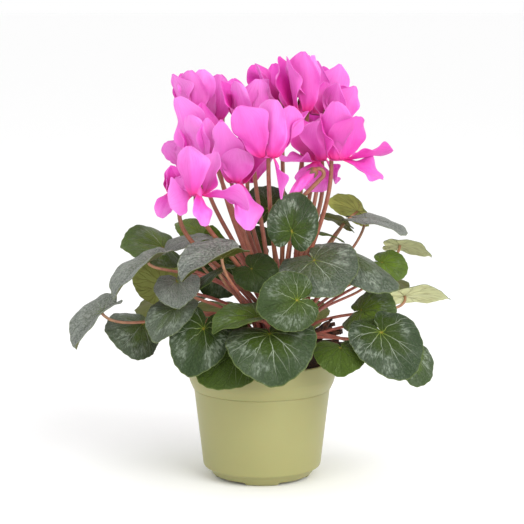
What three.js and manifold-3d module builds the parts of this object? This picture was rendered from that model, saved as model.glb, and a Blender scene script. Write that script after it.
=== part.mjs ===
// Potted florist's cyclamen: a pale green plastic pot, filled with peat, holding one tuber
// from which every leaf stalk and flower stalk rises.
// Millimetres, +Z up. The origin is the centre of the pot's foot, on the surface it stands on.
// The photograph looks along +Y, so -Y is the front of the plant.

import * as THREE from 'three';
import { mergeVertices } from 'three/addons/utils/BufferGeometryUtils.js';
import Module from 'manifold-3d';

const wasm = await Module();
wasm.setup();

// Driving dimensions of the pot
const RIM_RADIUS = 60;
const POT_HEIGHT = 98;
const COLLAR_END = 82;
const COLLAR_UNDER = 74;
const NECK_RADIUS = 55.6;
const WALL_END = 10;
const WALL_END_RADIUS = 48.2;
const FOOT_RADIUS = 40;
const FOOT_FLARE = 4;
const FOOT_HEIGHT = 7;
const WALL = 1.6;
const FLOOR = 5.4;
const FOOT_RIDGE = 5;
const FOOT_NOTCHES = 4;
const NOTCH_WIDTH = 34;
const NOTCH_HEIGHT = 2.6;
const DRAIN_HOLES = 6;
const DRAIN_HOLE_RADIUS = 4;
const DRAIN_CIRCLE = 26;
const POT_SIDES = 28;

// Driving dimensions of the soil and the tuber
const SOIL_TOP = 98;
const SOIL_FALL = 9;
const SOIL_SIDES = 18;
const TUBER_RADIUS = 25;
const TUBER_TOP = 106;
const TUBER_DEPTH = 32;
const CROWN_DEPTH = 4;
const TUBER_SIDES = 12;
const CROWN_X = 14;
const CROWN_Y = 0;

// Driving dimensions of what grows
const MERGE = 1e-4;
const GAP = 0.35;
const SEAM_TOLERANCE = 0.08;
const BLADE_THICKNESS = 0.9;
const BLADE_RAYS = 14;
const BLADE_RINGS = 2;
const YOUNG_RAYS = 8;
const SINUS_HALF_ANGLE = 8;
const BLADE_DROOP = 35;
const BLADE_FOLD = 10;
const EDGE_CURL = -20;
const WAVES = 5;
const WAVE_SHARE = 0.03;
const LEAF_STALK_RADIUS = 1.3;
const LEAF_STALK_STEPS = 4;
const LEAF_STALK_SIDES = 4;
const FLOWER_STALK_RADIUS = 1.55;
const FLOWER_STALK_STEPS = 4;
const HOOK_STEPS = 3;
const NECK_BELOW = 5;
const CALYX_RADIUS = 2.8;
const CALYX_HEIGHT = 2.6;
const CALYX_SIDES = 5;
const FLOWER_STALK_SIDES = 4;
const LEAF_CROWN_INNER = 13.5;
const LEAF_CROWN_OUTER = 21;
const LEAF_CIRCLES = [15.3, 18.6];
const LEAF_CROWN_TURN = -197;
const FLOWER_CROWN_RADIUS = 12.5;
const FLOWER_CIRCLES = [10.2, 4.4, 10.2];
const FLOWER_CROWN_TURN = -160;
const MOUTH_RADIUS = 4.4;
const TUBE_RADIUS = 4.9;
const TUBE_LENGTH = 9;
const HOOK_OFFSET = 7.8;
const PETAL_THICKNESS = 0.7;
const PETAL_ROWS = [0, 0.36, 0.74, 1];
const HIDDEN_PETAL_ROWS = [0, 0.5, 1];
const PETAL_WIDTH = 23;
const PETAL_CLAW = 2.1;
const PETAL_CUP = 0.16;
const PETAL_TURN = 28;
const PETAL_FIRST = 63;
const PETAL_APART = 62;
const TUBE_SIDES = 6;
const BUD_SIDES = 8;

const radians = THREE.MathUtils.degToRad;
const toVector = ([x, y, z]) => new THREE.Vector3(x, y, z);

// Closed meshes as solids, and solids as meshes. Points nearer than MERGE are one point.

function toSolid(geometry) {
  const bare = geometry.clone();
  bare.deleteAttribute('normal');
  bare.deleteAttribute('uv');
  const merged = mergeVertices(bare, MERGE);
  const mesh = new wasm.Mesh({
    numProp: 3,
    vertProperties: Float32Array.from(merged.attributes.position.array),
    triVerts: Uint32Array.from(merged.index.array),
  });
  return new wasm.Manifold(mesh);
}

function toGeometry(solid) {
  const mesh = solid.getMesh();
  const geometry = new THREE.BufferGeometry();
  geometry.setAttribute('position', new THREE.BufferAttribute(mesh.vertProperties, 3));
  geometry.setIndex(new THREE.BufferAttribute(mesh.triVerts, 1));
  geometry.computeVertexNormals();
  return geometry;
}

// Meshes that touch become one solid; points where two of them cross at a grazing angle, closer
// together than the seam tolerance, become one
function fuse(geometries) {
  let whole = toSolid(geometries[0]);
  for (const geometry of geometries.slice(1)) {
    whole = whole.add(toSolid(geometry));
  }
  return toGeometry(whole.simplify(SEAM_TOLERANCE));
}

// A turned profile: points are [radius, height] from bottom to top on the outside
function turned(points, sides) {
  const profile = points.map(([radius, height]) => new THREE.Vector2(radius, height));
  const geometry = new THREE.LatheGeometry(profile, sides);
  geometry.rotateX(Math.PI / 2);
  return geometry;
}

// An open sheet gets its thickness: each point moves half of it along the sheet's own normal
// to either side, both faces keep the same triangles, and a strip closes the edge.
function thickened(sheet, thickness) {
  const bare = sheet.clone();
  bare.deleteAttribute('normal');
  bare.deleteAttribute('uv');
  const merged = mergeVertices(bare, MERGE);
  merged.computeVertexNormals();
  const { position, normal } = merged.attributes;
  const count = position.count;
  const points = [];
  for (const side of [0.5, -0.5]) {
    for (let i = 0; i < count; i += 1) {
      points.push(
        position.getX(i) + side * thickness * normal.getX(i),
        position.getY(i) + side * thickness * normal.getY(i),
        position.getZ(i) + side * thickness * normal.getZ(i),
      );
    }
  }
  const faces = [];
  const edges = new Map();
  const index = merged.index.array;
  for (let f = 0; f < index.length; f += 3) {
    const [a, b, c] = index.slice(f, f + 3);
    if (a !== b && b !== c && c !== a) {
      faces.push(a, b, c, a + count, c + count, b + count);
      for (const [from, to] of [[a, b], [b, c], [c, a]]) {
        edges.set(`${from},${to}`, [from, to]);
      }
    }
  }
  for (const [from, to] of edges.values()) {
    if (!edges.has(`${to},${from}`)) {
      faces.push(to, from, from + count, to, from + count, to + count);
    }
  }
  const geometry = new THREE.BufferGeometry();
  geometry.setAttribute('position', new THREE.Float32BufferAttribute(points, 3));
  geometry.setIndex(faces);
  geometry.computeVertexNormals();
  return geometry;
}

// A route of several curves, each with its own number of steps, so that a tight bend gets as
// many as a long run
class Route extends THREE.Curve {
  constructor(parts) {
    super();
    this.parts = parts;
    this.steps = parts.reduce((sum, part) => sum + part.steps, 0);
  }

  getUtoTmapping(u) {
    return u;
  }

  getPoint(t) {
    let place = Math.min(t * this.steps, this.steps - 1e-9);
    const part = this.parts.find(({ steps }) => {
      const here = place < steps;
      place -= here ? 0 : steps;
      return here;
    });
    return part.curve.getPoint(place / part.steps);
  }
}

class Hook extends THREE.Curve {
  constructor(centre, side, axis, radius) {
    super();
    Object.assign(this, { centre, side, axis, radius });
  }

  // Half a circle, from the side of the tube up over its end and down onto it
  getPoint(t) {
    const angle = Math.PI * t;
    return this.centre
      .clone()
      .addScaledVector(this.side, this.radius * Math.cos(angle))
      .addScaledVector(this.axis, this.radius * Math.sin(angle));
  }
}

function stalk(parts, radius, sides) {
  const route = new Route(parts);
  const corners = Array.from({ length: sides }, (_, i) => {
    const angle = (2 * Math.PI * i) / sides;
    return new THREE.Vector2(radius * Math.cos(angle), radius * Math.sin(angle));
  });
  const section = new THREE.Shape(corners);
  return new THREE.ExtrudeGeometry(section, {
    steps: route.steps,
    extrudePath: route,
    bevelEnabled: false,
  });
}

// Leaf blades

// Reach of the heart-shaped outline from the stalk, as a share of the reach to the tip, at an
// angle from the tip: a circle moved towards the tip, a short point, and lobes that round off.
function outline(angle) {
  const turn = Math.abs(angle);
  const body = 0.76 + 0.18 * Math.cos(angle);
  const point = 0.06 * Math.exp(-((angle / 0.28) ** 2));
  const lobe = THREE.MathUtils.clamp((turn - radians(135)) / radians(37), 0, 1);
  return (body + point) * (1 - 0.5 * lobe * lobe);
}

// Distance across and rise of an arc that starts at an angle and bends at a steady rate
function arc(start, rate, length) {
  const bend = Math.abs(rate) < 1e-6 ? 1e-6 : rate;
  const end = start + bend * length;
  return [(Math.sin(end) - Math.sin(start)) / bend, (Math.cos(start) - Math.cos(end)) / bend];
}

// A blade's measures from its row: where the stalk meets it, its tip, and the way it faces
function bladeFrame(leaf) {
  const base = toVector(leaf.at);
  const chord = toVector(leaf.tip).sub(base);
  const droop = radians(leaf.droop ?? BLADE_DROOP);
  const along = chord.clone().normalize();
  const across = new THREE.Vector3().crossVectors(toVector(leaf.face), along).normalize();
  const up = new THREE.Vector3().crossVectors(along, across);
  const half = droop / 2;
  const length = (chord.length() * half) / Math.sin(half);
  const lead = along.clone().multiplyScalar(Math.cos(half)).addScaledVector(up, Math.sin(half));
  const normal = up.clone().multiplyScalar(Math.cos(half)).addScaledVector(along, -Math.sin(half));
  return { base, lead, across, normal, droop, length };
}

// A point of the blade: reach out from the stalk at an angle, fold and curl across the midrib,
// droop along it, and wave towards the edge.
function bladePoint(leaf, frame, angle, share) {
  const { length, droop } = frame;
  const wide = leaf.wide ?? 1;
  const [left, right] = leaf.fold ?? [BLADE_FOLD, BLADE_FOLD];
  const reach = outline(angle) * share * length;
  const ahead = reach * Math.cos(angle);
  const aside = reach * Math.sin(angle) * wide;
  const start = radians(aside > 0 ? left : right);
  const rate = radians(EDGE_CURL) / (0.76 * length * wide);
  const [across, rise] = arc(start, rate, Math.abs(aside));
  const ripple = WAVE_SHARE * length * Math.sin(WAVES * angle);
  const lift = rise + ripple * share ** 3;
  const turn = (droop * ahead) / length;
  const radius = length / droop;
  return new THREE.Vector3(
    radius * Math.sin(turn) + lift * Math.sin(turn),
    Math.sign(aside) * across,
    radius * (Math.cos(turn) - 1) + lift * Math.cos(turn),
  );
}

function bladeGeometry(leaf) {
  const frame = bladeFrame(leaf);
  const start = radians(SINUS_HALF_ANGLE - 180);
  const sweep = radians(360 - 2 * SINUS_HALF_ANGLE);
  const rays = leaf.rays ?? BLADE_RAYS;
  const sheet = new THREE.RingGeometry(0, 1, rays, BLADE_RINGS, start, sweep);
  const { position } = sheet.attributes;
  for (let i = 0; i < position.count; i += 1) {
    const share = Math.hypot(position.getX(i), position.getY(i));
    const angle = Math.atan2(position.getY(i), position.getX(i));
    const point = bladePoint(leaf, frame, angle, share);
    position.setXYZ(i, point.x, point.y, point.z);
  }
  return thickened(sheet, BLADE_THICKNESS);
}

function bladeMatrix(frame) {
  return new THREE.Matrix4()
    .makeBasis(frame.lead, frame.across, frame.normal)
    .setPosition(frame.base);
}

// A young blade, small and simple, is one piece with its stalk
function youngLeaf(leaf) {
  const row = { ...leaf, rays: YOUNG_RAYS, fused: true };
  const blade = bladeGeometry(row);
  blade.applyMatrix4(bladeMatrix(bladeFrame(row)));
  return fuse([blade, leafStalk(row)]);
}

// Feet of the stalks: the rows, in order of their bearing from the crown, stand evenly spaced
// round it, on its circles by turns
function feet(rows, circles, turn) {
  const bearing = ({ at }) => Math.atan2(at[1] - CROWN_Y, at[0] - CROWN_X);
  const order = [...rows].sort((a, b) => bearing(a) - bearing(b));
  const places = order.map((row, i) => {
    const angle = radians(turn + (360 * i) / order.length);
    const radius = circles[i % circles.length];
    const x = CROWN_X + radius * Math.cos(angle);
    const y = CROWN_Y + radius * Math.sin(angle);
    return [row.at, new THREE.Vector3(x, y, TUBER_TOP - CROWN_DEPTH / 2)];
  });
  return new Map(places);
}

// The route of a leaf stalk: up out of the crown, outwards, and up into the back of the blade
function leafStalk(leaf) {
  const frame = bladeFrame(leaf);
  const [left, right] = leaf.fold ?? [BLADE_FOLD, BLADE_FOLD];
  const slope = Math.tan(frame.droop / 4) + Math.tan(radians(Math.max(0, -left, -right)));
  const under = leaf.fused ? 0 : BLADE_THICKNESS / 2 + GAP + LEAF_STALK_RADIUS * slope;
  const end = frame.base.clone().addScaledVector(frame.normal, -under);
  const foot = LEAF_FEET.get(leaf.at);
  const span = foot.distanceTo(end);
  const rise = foot.clone().addScaledVector(new THREE.Vector3(0, 0, 1), (leaf.rise ?? 0.45) * span);
  const enter = end.clone().addScaledVector(frame.normal, -(leaf.enter ?? 0.25) * span);
  return stalk(
    [{ curve: new THREE.CubicBezierCurve3(foot, rise, enter, end), steps: LEAF_STALK_STEPS }],
    LEAF_STALK_RADIUS,
    LEAF_STALK_SIDES,
  );
}

// Blooms

// A bloom's measures: its mouth, the axis that its turned-back petals follow, and the side
// on which its stalk passes, as a bearing seen from above (0 is +X, 90 is +Y)
function bloomFrame(bloom) {
  const mouth = toVector(bloom.at);
  const axis = new THREE.Vector3(bloom.lean[0], bloom.lean[1], 1).normalize();
  const bearing = radians(bloom.stem);
  const side = new THREE.Vector3(Math.cos(bearing), Math.sin(bearing), 0);
  side.addScaledVector(axis, -side.dot(axis)).normalize();
  const third = new THREE.Vector3().crossVectors(axis, side);
  return { mouth, axis, side, third };
}

// Half the width of a petal at a share of its length: a narrow claw, widest past the middle,
// and a round end
function petalHalfWidth(share, width) {
  if (share < 0.6) {
    const swell = Math.sin((Math.PI / 2) * (share / 0.6)) ** 1.5;
    return PETAL_CLAW + (width / 2 - PETAL_CLAW) * swell;
  }
  return (width / 2) * Math.sqrt(Math.max(0.02, 1 - ((share - 0.6) / 0.42) ** 2));
}

// The middle line of a petal, in distance from the axis and height above the mouth: it leaves
// the mouth outwards, turns back at once, and then rises at its own flare
function petalLine(share, length, flare, bend) {
  const parts = 24;
  const step = (share * length) / parts;
  let radius = MOUTH_RADIUS - 0.6;
  let height = 0.3;
  let angle = 0;
  for (let i = 0; i < parts; i += 1) {
    const place = (share * (i + 0.5)) / parts;
    angle = radians(flare + bend * place * place);
    angle += (radians(105) - angle) * Math.exp(-place / 0.07);
    radius += step * Math.sin(angle);
    height += step * Math.cos(angle);
  }
  return { radius, height, angle };
}

function petalGeometry(bloom, frame, order) {
  const length = bloom.long * (bloom.scale?.[order] ?? 1);
  const width = bloom.wide ?? PETAL_WIDTH;
  const flare = bloom.flare[order];
  const swing = bloom.swing?.[order] ?? 0;
  const bearing = radians(PETAL_FIRST + PETAL_APART * order + swing);
  const outward = frame.side
    .clone()
    .multiplyScalar(Math.cos(bearing))
    .addScaledVector(frame.third, Math.sin(bearing));
  const beside = new THREE.Vector3().crossVectors(frame.axis, outward);
  const shares = bloom.hidden ? HIDDEN_PETAL_ROWS : PETAL_ROWS;
  const rows = shares.length - 1;
  const sheet = new THREE.PlaneGeometry(2, rows, 2, rows);
  const { position } = sheet.attributes;
  for (let i = 0; i < position.count; i += 1) {
    const share = shares[Math.round(position.getY(i) + rows / 2)];
    const place = position.getX(i);
    const line = petalLine(share, length, flare, bloom.bend?.[order] ?? 0);
    const half = petalHalfWidth(share, width);
    const turn = bloom.turn?.[order] ?? PETAL_TURN;
    const twist = radians(turn * Math.min(1, 0.5 + 1.4 * share));
    const cup = PETAL_CUP * half * place * place;
    const away = new THREE.Vector3()
      .addScaledVector(outward, Math.cos(line.angle))
      .addScaledVector(frame.axis, -Math.sin(line.angle));
    const point = frame.mouth
      .clone()
      .addScaledVector(outward, line.radius)
      .addScaledVector(frame.axis, line.height)
      .addScaledVector(beside, half * place * Math.cos(twist))
      .addScaledVector(away, half * place * Math.sin(twist) - cup);
    position.setXYZ(i, point.x, point.y, point.z);
  }
  return thickened(sheet, PETAL_THICKNESS);
}

// The short corolla tube, open at its mouth, with the petals standing on its edge
function bloomGeometry(bloom) {
  const frame = bloomFrame(bloom);
  const tube = turned(
    [
      [0, 3.5],
      [MOUTH_RADIUS - 1.2, -0.4],
      [MOUTH_RADIUS + 0.6, -0.4],
      [TUBE_RADIUS - 1.6, TUBE_LENGTH],
      [0, TUBE_LENGTH],
    ],
    TUBE_SIDES,
  );
  tube.applyMatrix4(
    new THREE.Matrix4()
      .makeBasis(frame.side, frame.third, frame.axis)
      .setPosition(frame.mouth),
  );
  const petals = bloom.flare.map((_, order) => petalGeometry(bloom, frame, order));
  return fuse([tube, ...petals]);
}

// A closed bud hangs from its stalk as a slim spindle, rounded at the stalk and pointed below
function budGeometry(bud) {
  const frame = bloomFrame(bud);
  const spindle = turned(
    [
      [0, -bud.long],
      [1.6, -0.86 * bud.long],
      [3.4, -0.55 * bud.long],
      [4.4, -0.2 * bud.long],
      [3.6, 0.1 * bud.long],
      [3.4, TUBE_LENGTH],
      [0, TUBE_LENGTH],
    ],
    BUD_SIDES,
  );
  spindle.applyMatrix4(
    new THREE.Matrix4()
      .makeBasis(frame.side, frame.third, frame.axis)
      .setPosition(frame.mouth),
  );
  return fuse([spindle]);
}

// The route of a flower stalk: up out of the crown, past the mouth, hooked over the tube, and
// down into a small calyx that sits on its end
function flowerStalk(bloom) {
  const frame = bloomFrame(bloom);
  const foot = FLOWER_FEET.get(bloom.at);
  const calyx = TUBE_LENGTH + GAP;
  const neck = frame.mouth
    .clone()
    .addScaledVector(frame.side, HOOK_OFFSET)
    .addScaledVector(frame.axis, -NECK_BELOW);
  const top = neck.clone().addScaledVector(frame.axis, NECK_BELOW + calyx + CALYX_HEIGHT / 3);
  const centre = top.clone().addScaledVector(frame.side, -HOOK_OFFSET / 2);
  const span = foot.distanceTo(neck);
  const rise = foot.clone().addScaledVector(new THREE.Vector3(0, 0, 1), (bloom.rise ?? 0.4) * span);
  const enter = neck.clone().addScaledVector(frame.axis, -(bloom.enter ?? 0.3) * span);
  const hook = new Hook(centre, frame.side, frame.axis, HOOK_OFFSET / 2);
  const shaft = new THREE.CubicBezierCurve3(foot, rise, enter, neck);
  const cup = turned(
    [
      [0, 0],
      [CALYX_RADIUS, 0],
      [0.55 * CALYX_RADIUS, CALYX_HEIGHT],
      [0, CALYX_HEIGHT],
    ],
    CALYX_SIDES,
  );
  const seat = frame.mouth.clone().addScaledVector(frame.axis, calyx);
  cup.applyMatrix4(
    new THREE.Matrix4()
      .makeBasis(frame.side, frame.third, frame.axis)
      .setPosition(seat),
  );
  const stem = stalk(
    [
      { curve: shaft, steps: FLOWER_STALK_STEPS },
      { curve: new THREE.LineCurve3(neck, top), steps: 1 },
      { curve: hook, steps: HOOK_STEPS },
    ],
    FLOWER_STALK_RADIUS,
    FLOWER_STALK_SIDES,
  );
  return fuse([stem, cup]);
}

// Leaves: the point where the stalk meets the blade, the tip, and the way the upper face looks,
// in millimetres. wide is the width against that of a broad blade, fold lifts the left and the
// right half and droop bends the midrib, in degrees, rays is the number of sectors of a blade
// that few people see, and rise and enter are how far its stalk keeps to the way it sets off and
// to the way it arrives, as shares of its span.
const LEAVES = [
  {
    name: 'leaf_01', at: [-81, 8, 187], tip: [-114, -4, 189], face: [-0.05, -0.75, 1],
    fold: [15, 5], rise: 0.6,
  },
  {
    name: 'leaf_02', at: [-90, -39, 182], tip: [-115, -56, 155], face: [-1, -0.35, 0.5],
    wide: 0.68, fold: [20, 30], rise: 0.6, enter: 0.12,
  },
  {
    name: 'leaf_03', at: [-128, -26, 139], tip: [-148, -35, 111], face: [-1, -0.3, 0.5],
    wide: 0.75, fold: [20, 40],
  },
  {
    name: 'leaf_04', at: [-97, -9, 127], tip: [-126, -22, 123], face: [-0.1, -0.8, 0.5],
    wide: 1.15, fold: [-10, -30],
  },
  {
    name: 'leaf_05', at: [-68, -45, 146], tip: [-83, -68, 123], face: [-0.1, -0.7, 0.7],
    wide: 0.66, fold: [25, 10],
  },
  {
    name: 'leaf_06', at: [-67, -42, 167], tip: [-65, -63, 149], face: [-0.1, -0.7, 0.7],
    wide: 0.85,
  },
  {
    name: 'leaf_07', at: [-31, -71, 190], tip: [-61, -86, 173], face: [-0.2, -0.25, 0.95],
    wide: 0.78, fold: [40, 40], rise: 0.38,
  },
  { name: 'leaf_08', at: [-53, 2, 196], tip: [-79, -12, 184], face: [-0.3, -0.2, 1], wide: 0.7 },
  { name: 'leaf_09', at: [-52, 32, 195], tip: [-72, 37, 203], face: [-0.1, -0.3, 1], rays: 10 },
  {
    name: 'leaf_10', at: [-82, 12, 156], tip: [-100, 0, 175], face: [-0.3, 0.9, 0.25], wide: 0.85,
    rays: 10,
  },
  { name: 'leaf_11', at: [-46, -54, 132], tip: [-58, -77, 98], face: [0, -0.9, 0.4], wide: 0.7 },
  { name: 'leaf_12', at: [-17, -56, 117], tip: [-48, -72, 91], face: [-0.1, -0.9, 0.4], wide: 0.8 },
  {
    name: 'leaf_13', at: [6, -68, 130], tip: [12, -94, 94], face: [0, -0.85, 0.45], wide: 0.95,
    droop: 70,
  },
  {
    name: 'leaf_14', at: [27, -75, 158], tip: [-4, -82, 152], face: [0, -1, 0.35], wide: 0.95,
    droop: 25,
  },
  {
    name: 'leaf_15', at: [-5, -60, 141], tip: [-38, -72, 130], face: [-0.1, -0.1, 1], wide: 0.75,
    fold: [20, 35], rise: 0.6, enter: 0.1,
  },
  { name: 'leaf_16', at: [-8, -41, 177], tip: [10, -49, 162], face: [0, -0.9, 0.6], wide: 0.9 },
  {
    name: 'leaf_17', at: [23, -60, 210], tip: [28, -54, 239], face: [0, -1, 0.1], wide: 0.85,
    fold: [10, 20], rise: 0.35,
  },
  {
    name: 'leaf_18', at: [41, -43, 184], tip: [58, -67, 160], face: [0, -0.6, 0.8], wide: 1.1,
    fold: [12, 0],
  },
  {
    name: 'leaf_19', at: [71, -24, 187], tip: [107, -46, 161], face: [0.2, -0.8, 0.6], wide: 0.72,
    fold: [-40, 8],
  },
  {
    name: 'leaf_20', at: [98, 12, 174], tip: [116, 4, 163], face: [0.2, -0.6, 0.7], wide: 1.05,
    rays: 10,
  },
  {
    name: 'leaf_21', at: [114, 30, 186], tip: [140, 24, 177], face: [0, 0.6, 1], wide: 0.62,
    rays: 10,
  },
  {
    name: 'leaf_22', at: [116, -2, 149], tip: [152, -8, 147], face: [0, 0.5, 1], wide: 0.8,
    rays: 10,
  },
  {
    name: 'leaf_23', at: [80, -20, 140], tip: [106, -36, 139], face: [-0.1, -0.8, 0.8], wide: 0.95,
    rise: 0.3, enter: 0.35,
  },
  {
    name: 'leaf_24', at: [93, -62, 130], tip: [112, -84, 97], face: [0.1, -0.7, 0.6], wide: 0.8,
    rise: 0.3,
  },
  { name: 'leaf_25', at: [117, -28, 108], tip: [124, -42, 82], face: [0.5, -0.5, 0.5] },
  {
    name: 'leaf_26', at: [61, -64, 118], tip: [61, -82, 99], face: [0, -1, 0.5], wide: 1.02,
    droop: 50,
  },
  {
    name: 'leaf_27', at: [80, 48, 212], tip: [56, 62, 217], face: [0.1, 1, 0.7], wide: 0.7,
    rays: 10,
  },
  { name: 'leaf_28', at: [84, 9, 211], tip: [117, 0, 198], face: [0.2, -0.1, 1], wide: 0.7 },
  { name: 'leaf_29', at: [5, 42, 215], tip: [0, 59, 232], face: [0, -0.8, 0.6], rays: 10 },
  {
    name: 'leaf_30', at: [-35, -34, 174], tip: [-55, -44, 155], face: [-0.5, -0.1, 1], wide: 0.55,
    rays: 10,
  },
  { name: 'leaf_31', at: [-33, 48, 172], tip: [-47, 54, 140], face: [0, -0.8, 0.5], rays: 8 },
  { name: 'leaf_32', at: [6, 65, 168], tip: [0, 92, 148], face: [0, 0.7, 0.8], rays: 8 },
  { name: 'leaf_33', at: [52, 66, 174], tip: [68, 92, 156], face: [0.2, 0.6, 1], rays: 8 },
  { name: 'leaf_34', at: [92, 48, 158], tip: [120, 62, 140], face: [0.5, 0.4, 1], rays: 8 },
  { name: 'leaf_35', at: [-72, 46, 138], tip: [-98, 66, 116], face: [-0.5, 0.6, 0.8], rays: 8 },
  { name: 'leaf_36', at: [28, 66, 128], tip: [32, 90, 100], face: [0.1, 0.9, 0.5], rays: 8 },
  { name: 'leaf_37', at: [-26, 60, 126], tip: [-44, 82, 100], face: [-0.2, 0.8, 0.5], rays: 8 },
];

// Young leaves, each one piece with its stalk
const YOUNG_LEAVES = [
  { at: [-52, 22, 178], tip: [-74, 26, 172], face: [-0.2, -0.2, 1], wide: 0.85 },
  { at: [0, 44, 186], tip: [-16, 50, 192], face: [0, -0.8, 0.6] },
  { at: [68, 32, 204], tip: [48, 36, 209], face: [0.1, 0.4, 1] },
  { at: [58, 10, 196], tip: [38, 6, 198], face: [0, 0, 1], wide: 0.55 },
  { at: [-37, 27, 185], tip: [-42, 21, 204], face: [-0.4, -1, 0.2], wide: 0.6 },
];

// Blooms: the mouth, the lean of the axis, the bearing of the stalk, the petals' length and
// width, and for each of the five petals, in order round from the stalk, its flare from the
// axis, the bend that adds to it towards the tip, its turn about its own middle line, its share
// of the length (scale), and how far it swings from its even place round the mouth. hidden is
// for a bloom that stands behind others: its petals have fewer rows.
const BLOOMS = [
  {
    name: 'bloom_01', at: [-53, 25, 292], lean: [-0.1, 0.1], stem: 0, long: 40, wide: 21,
    flare: [8, 8, 12, 6, 6], turn: [28, 28, -15, 10, 28], swing: [6, 0, 12, 14, -3],
    hidden: true,
  },
  {
    name: 'bloom_02', at: [-40, 56, 284], lean: [0, 0.1], stem: -20, long: 44, wide: 22,
    flare: [20, 12, 10, 8, 12], turn: [28, 28, 0, 10, 20], hidden: true,
  },
  {
    name: 'bloom_03', at: [-12, 10, 285], lean: [0, 0], stem: 60, long: 42, wide: 24,
    flare: [12, 18, 18, 10, 12], swing: [4, 0, 0, 0, -6], hidden: true,
  },
  {
    name: 'bloom_04', at: [16, 68, 292], lean: [-0.05, 0.1], stem: -90, long: 48, wide: 25,
    flare: [12, 20, 14, 18, 20], swing: [4, 0, 0, 0, -6], hidden: true,
  },
  {
    name: 'bloom_05', at: [33, 0, 298], lean: [-0.06, 0], stem: 100, long: 51, wide: 22,
    flare: [9, 9, 5, 3, 4], scale: [0.95, 0.95, 1, 0.92, 0.92],
  },
  {
    name: 'bloom_06', at: [45, 50, 293], lean: [0.1, 0.15], stem: 200, long: 46, wide: 25,
    flare: [15, 15, 18, 15, 15], hidden: true,
  },
  {
    name: 'bloom_07', at: [57, 14, 286], lean: [0.16, 0.1], stem: 190, long: 37, wide: 22,
    flare: [14, 15, 12, 14, 10], swing: [4, 0, 0, 0, -6], hidden: true,
  },
  {
    name: 'bloom_08', at: [-41, -10, 255], lean: [-0.12, 0.1], stem: 20, long: 48, wide: 26,
    flare: [5, 12, 11, 12, 6], turn: [-20, 28, -65, 0, -40], scale: [1.15, 1, 1.3, 0.95, 0.85],
    swing: [21, 0, -30, -40, -46], hidden: true,
  },
  {
    name: 'bloom_09', at: [-20, -40, 245], lean: [0.06, 0.1], stem: 83, long: 50, wide: 23,
    flare: [10, 10, 14, 160, 12], turn: [0, -10, 10, 12, -50], scale: [1.05, 1, 0.58, 0.8, 0.95],
    swing: [-8, 0, 0, -30, -24],
  },
  {
    name: 'bloom_10', at: [5, -62, 267], lean: [0, 0.05], stem: 90, long: 48, wide: 25,
    flare: [168, 28, 7, 16, 38], turn: [50, -42, 42, 50, 12], scale: [0.7, 1, 0.98, 0.9, 1],
    swing: [163, 6, 7, 6, -8],
  },
  {
    name: 'bloom_11', at: [47, -14, 260], lean: [-0.1, 0.1], stem: 83, long: 42, wide: 25,
    flare: [15, 84, 12, 165, 168], turn: [28, 12, 10, 28, 30], scale: [1, 0.75, 0.8, 0.5, 0.62],
    swing: [5, 0, 0, 0, -160],
  },
  {
    name: 'bloom_12', at: [58, -50, 264], lean: [0, 0], stem: 120, long: 48, wide: 25,
    flare: [10, 3, 23, 116, 83], turn: [28, 10, 22, -15, 20], scale: [0.8, 1, 0.84, 0.74, 0.9],
    swing: [14, 13, 5, -12, -50],
  },
  {
    name: 'bloom_13', at: [-50, -68, 238], lean: [0, 0.1], stem: 100, long: 40, enter: 0.15,
    flare: [112, 6, 165, 90, 20], bend: [0, 0, 0, 48, 0], turn: [75, 0, 40, 28, -10],
    scale: [0.5, 1, 0.62, 0.98, 0.95], swing: [0, 18, 6, 0, -16],
  },
  {
    name: 'bloom_14', at: [-70, -34, 236], lean: [0.3, 0], stem: 0, long: 22, wide: 12,
    flare: [20, 15, 5, 160, 20], hidden: true,
  },
  {
    name: 'bloom_15', at: [-57, 28, 250], lean: [-0.18, 0.1], stem: 0, long: 29, wide: 21,
    flare: [22, 22, 22, 14, 22], turn: [28, 28, -60, 10, 28], swing: [5, 0, 0, 0, -8],
    hidden: true,
  },
  {
    name: 'bloom_16', at: [-12, 32, 238], lean: [0, 0.1], stem: -90, long: 46, wide: 22,
    flare: [18, 18, 15, 20, 18], hidden: true,
  },
  {
    name: 'bloom_17', at: [47, 70, 258], lean: [-0.05, 0.05], stem: -90, long: 46, wide: 26,
    flare: [15, 20, 15, 20, 15], swing: [4, 0, 0, 0, -6], hidden: true,
  },
];

// A bud: the place where its mouth will be, with the same lean and stalk as a bloom
const BUDS = [
  { name: 'bud_01', at: [34, -52, 249], lean: [1, 0], stem: 0, long: 20, rise: 0.5 },
];

const LEAF_FEET = feet([...LEAVES, ...YOUNG_LEAVES], LEAF_CIRCLES, LEAF_CROWN_TURN);
const FLOWER_FEET = feet([...BLOOMS, ...BUDS], FLOWER_CIRCLES, FLOWER_CROWN_TURN);

// Materials

const material = (color, roughness) =>
  new THREE.MeshStandardMaterial({ color, roughness, metalness: 0 });
const potPlastic = material(0xb4b478, 0.45);
const peat = material(0x2a1c14, 0.95);
const tuberSkin = material(0x4a3324, 0.85);
const leafStalkSkin = material(0xa86a58, 0.5);
const flowerStalkSkin = material(0xa3584c, 0.5);
const leafGreen = material(0x2f4a2c, 0.4);
const petalPink = material(0xee66d6, 0.6);

// Pot, soil and tuber

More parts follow.
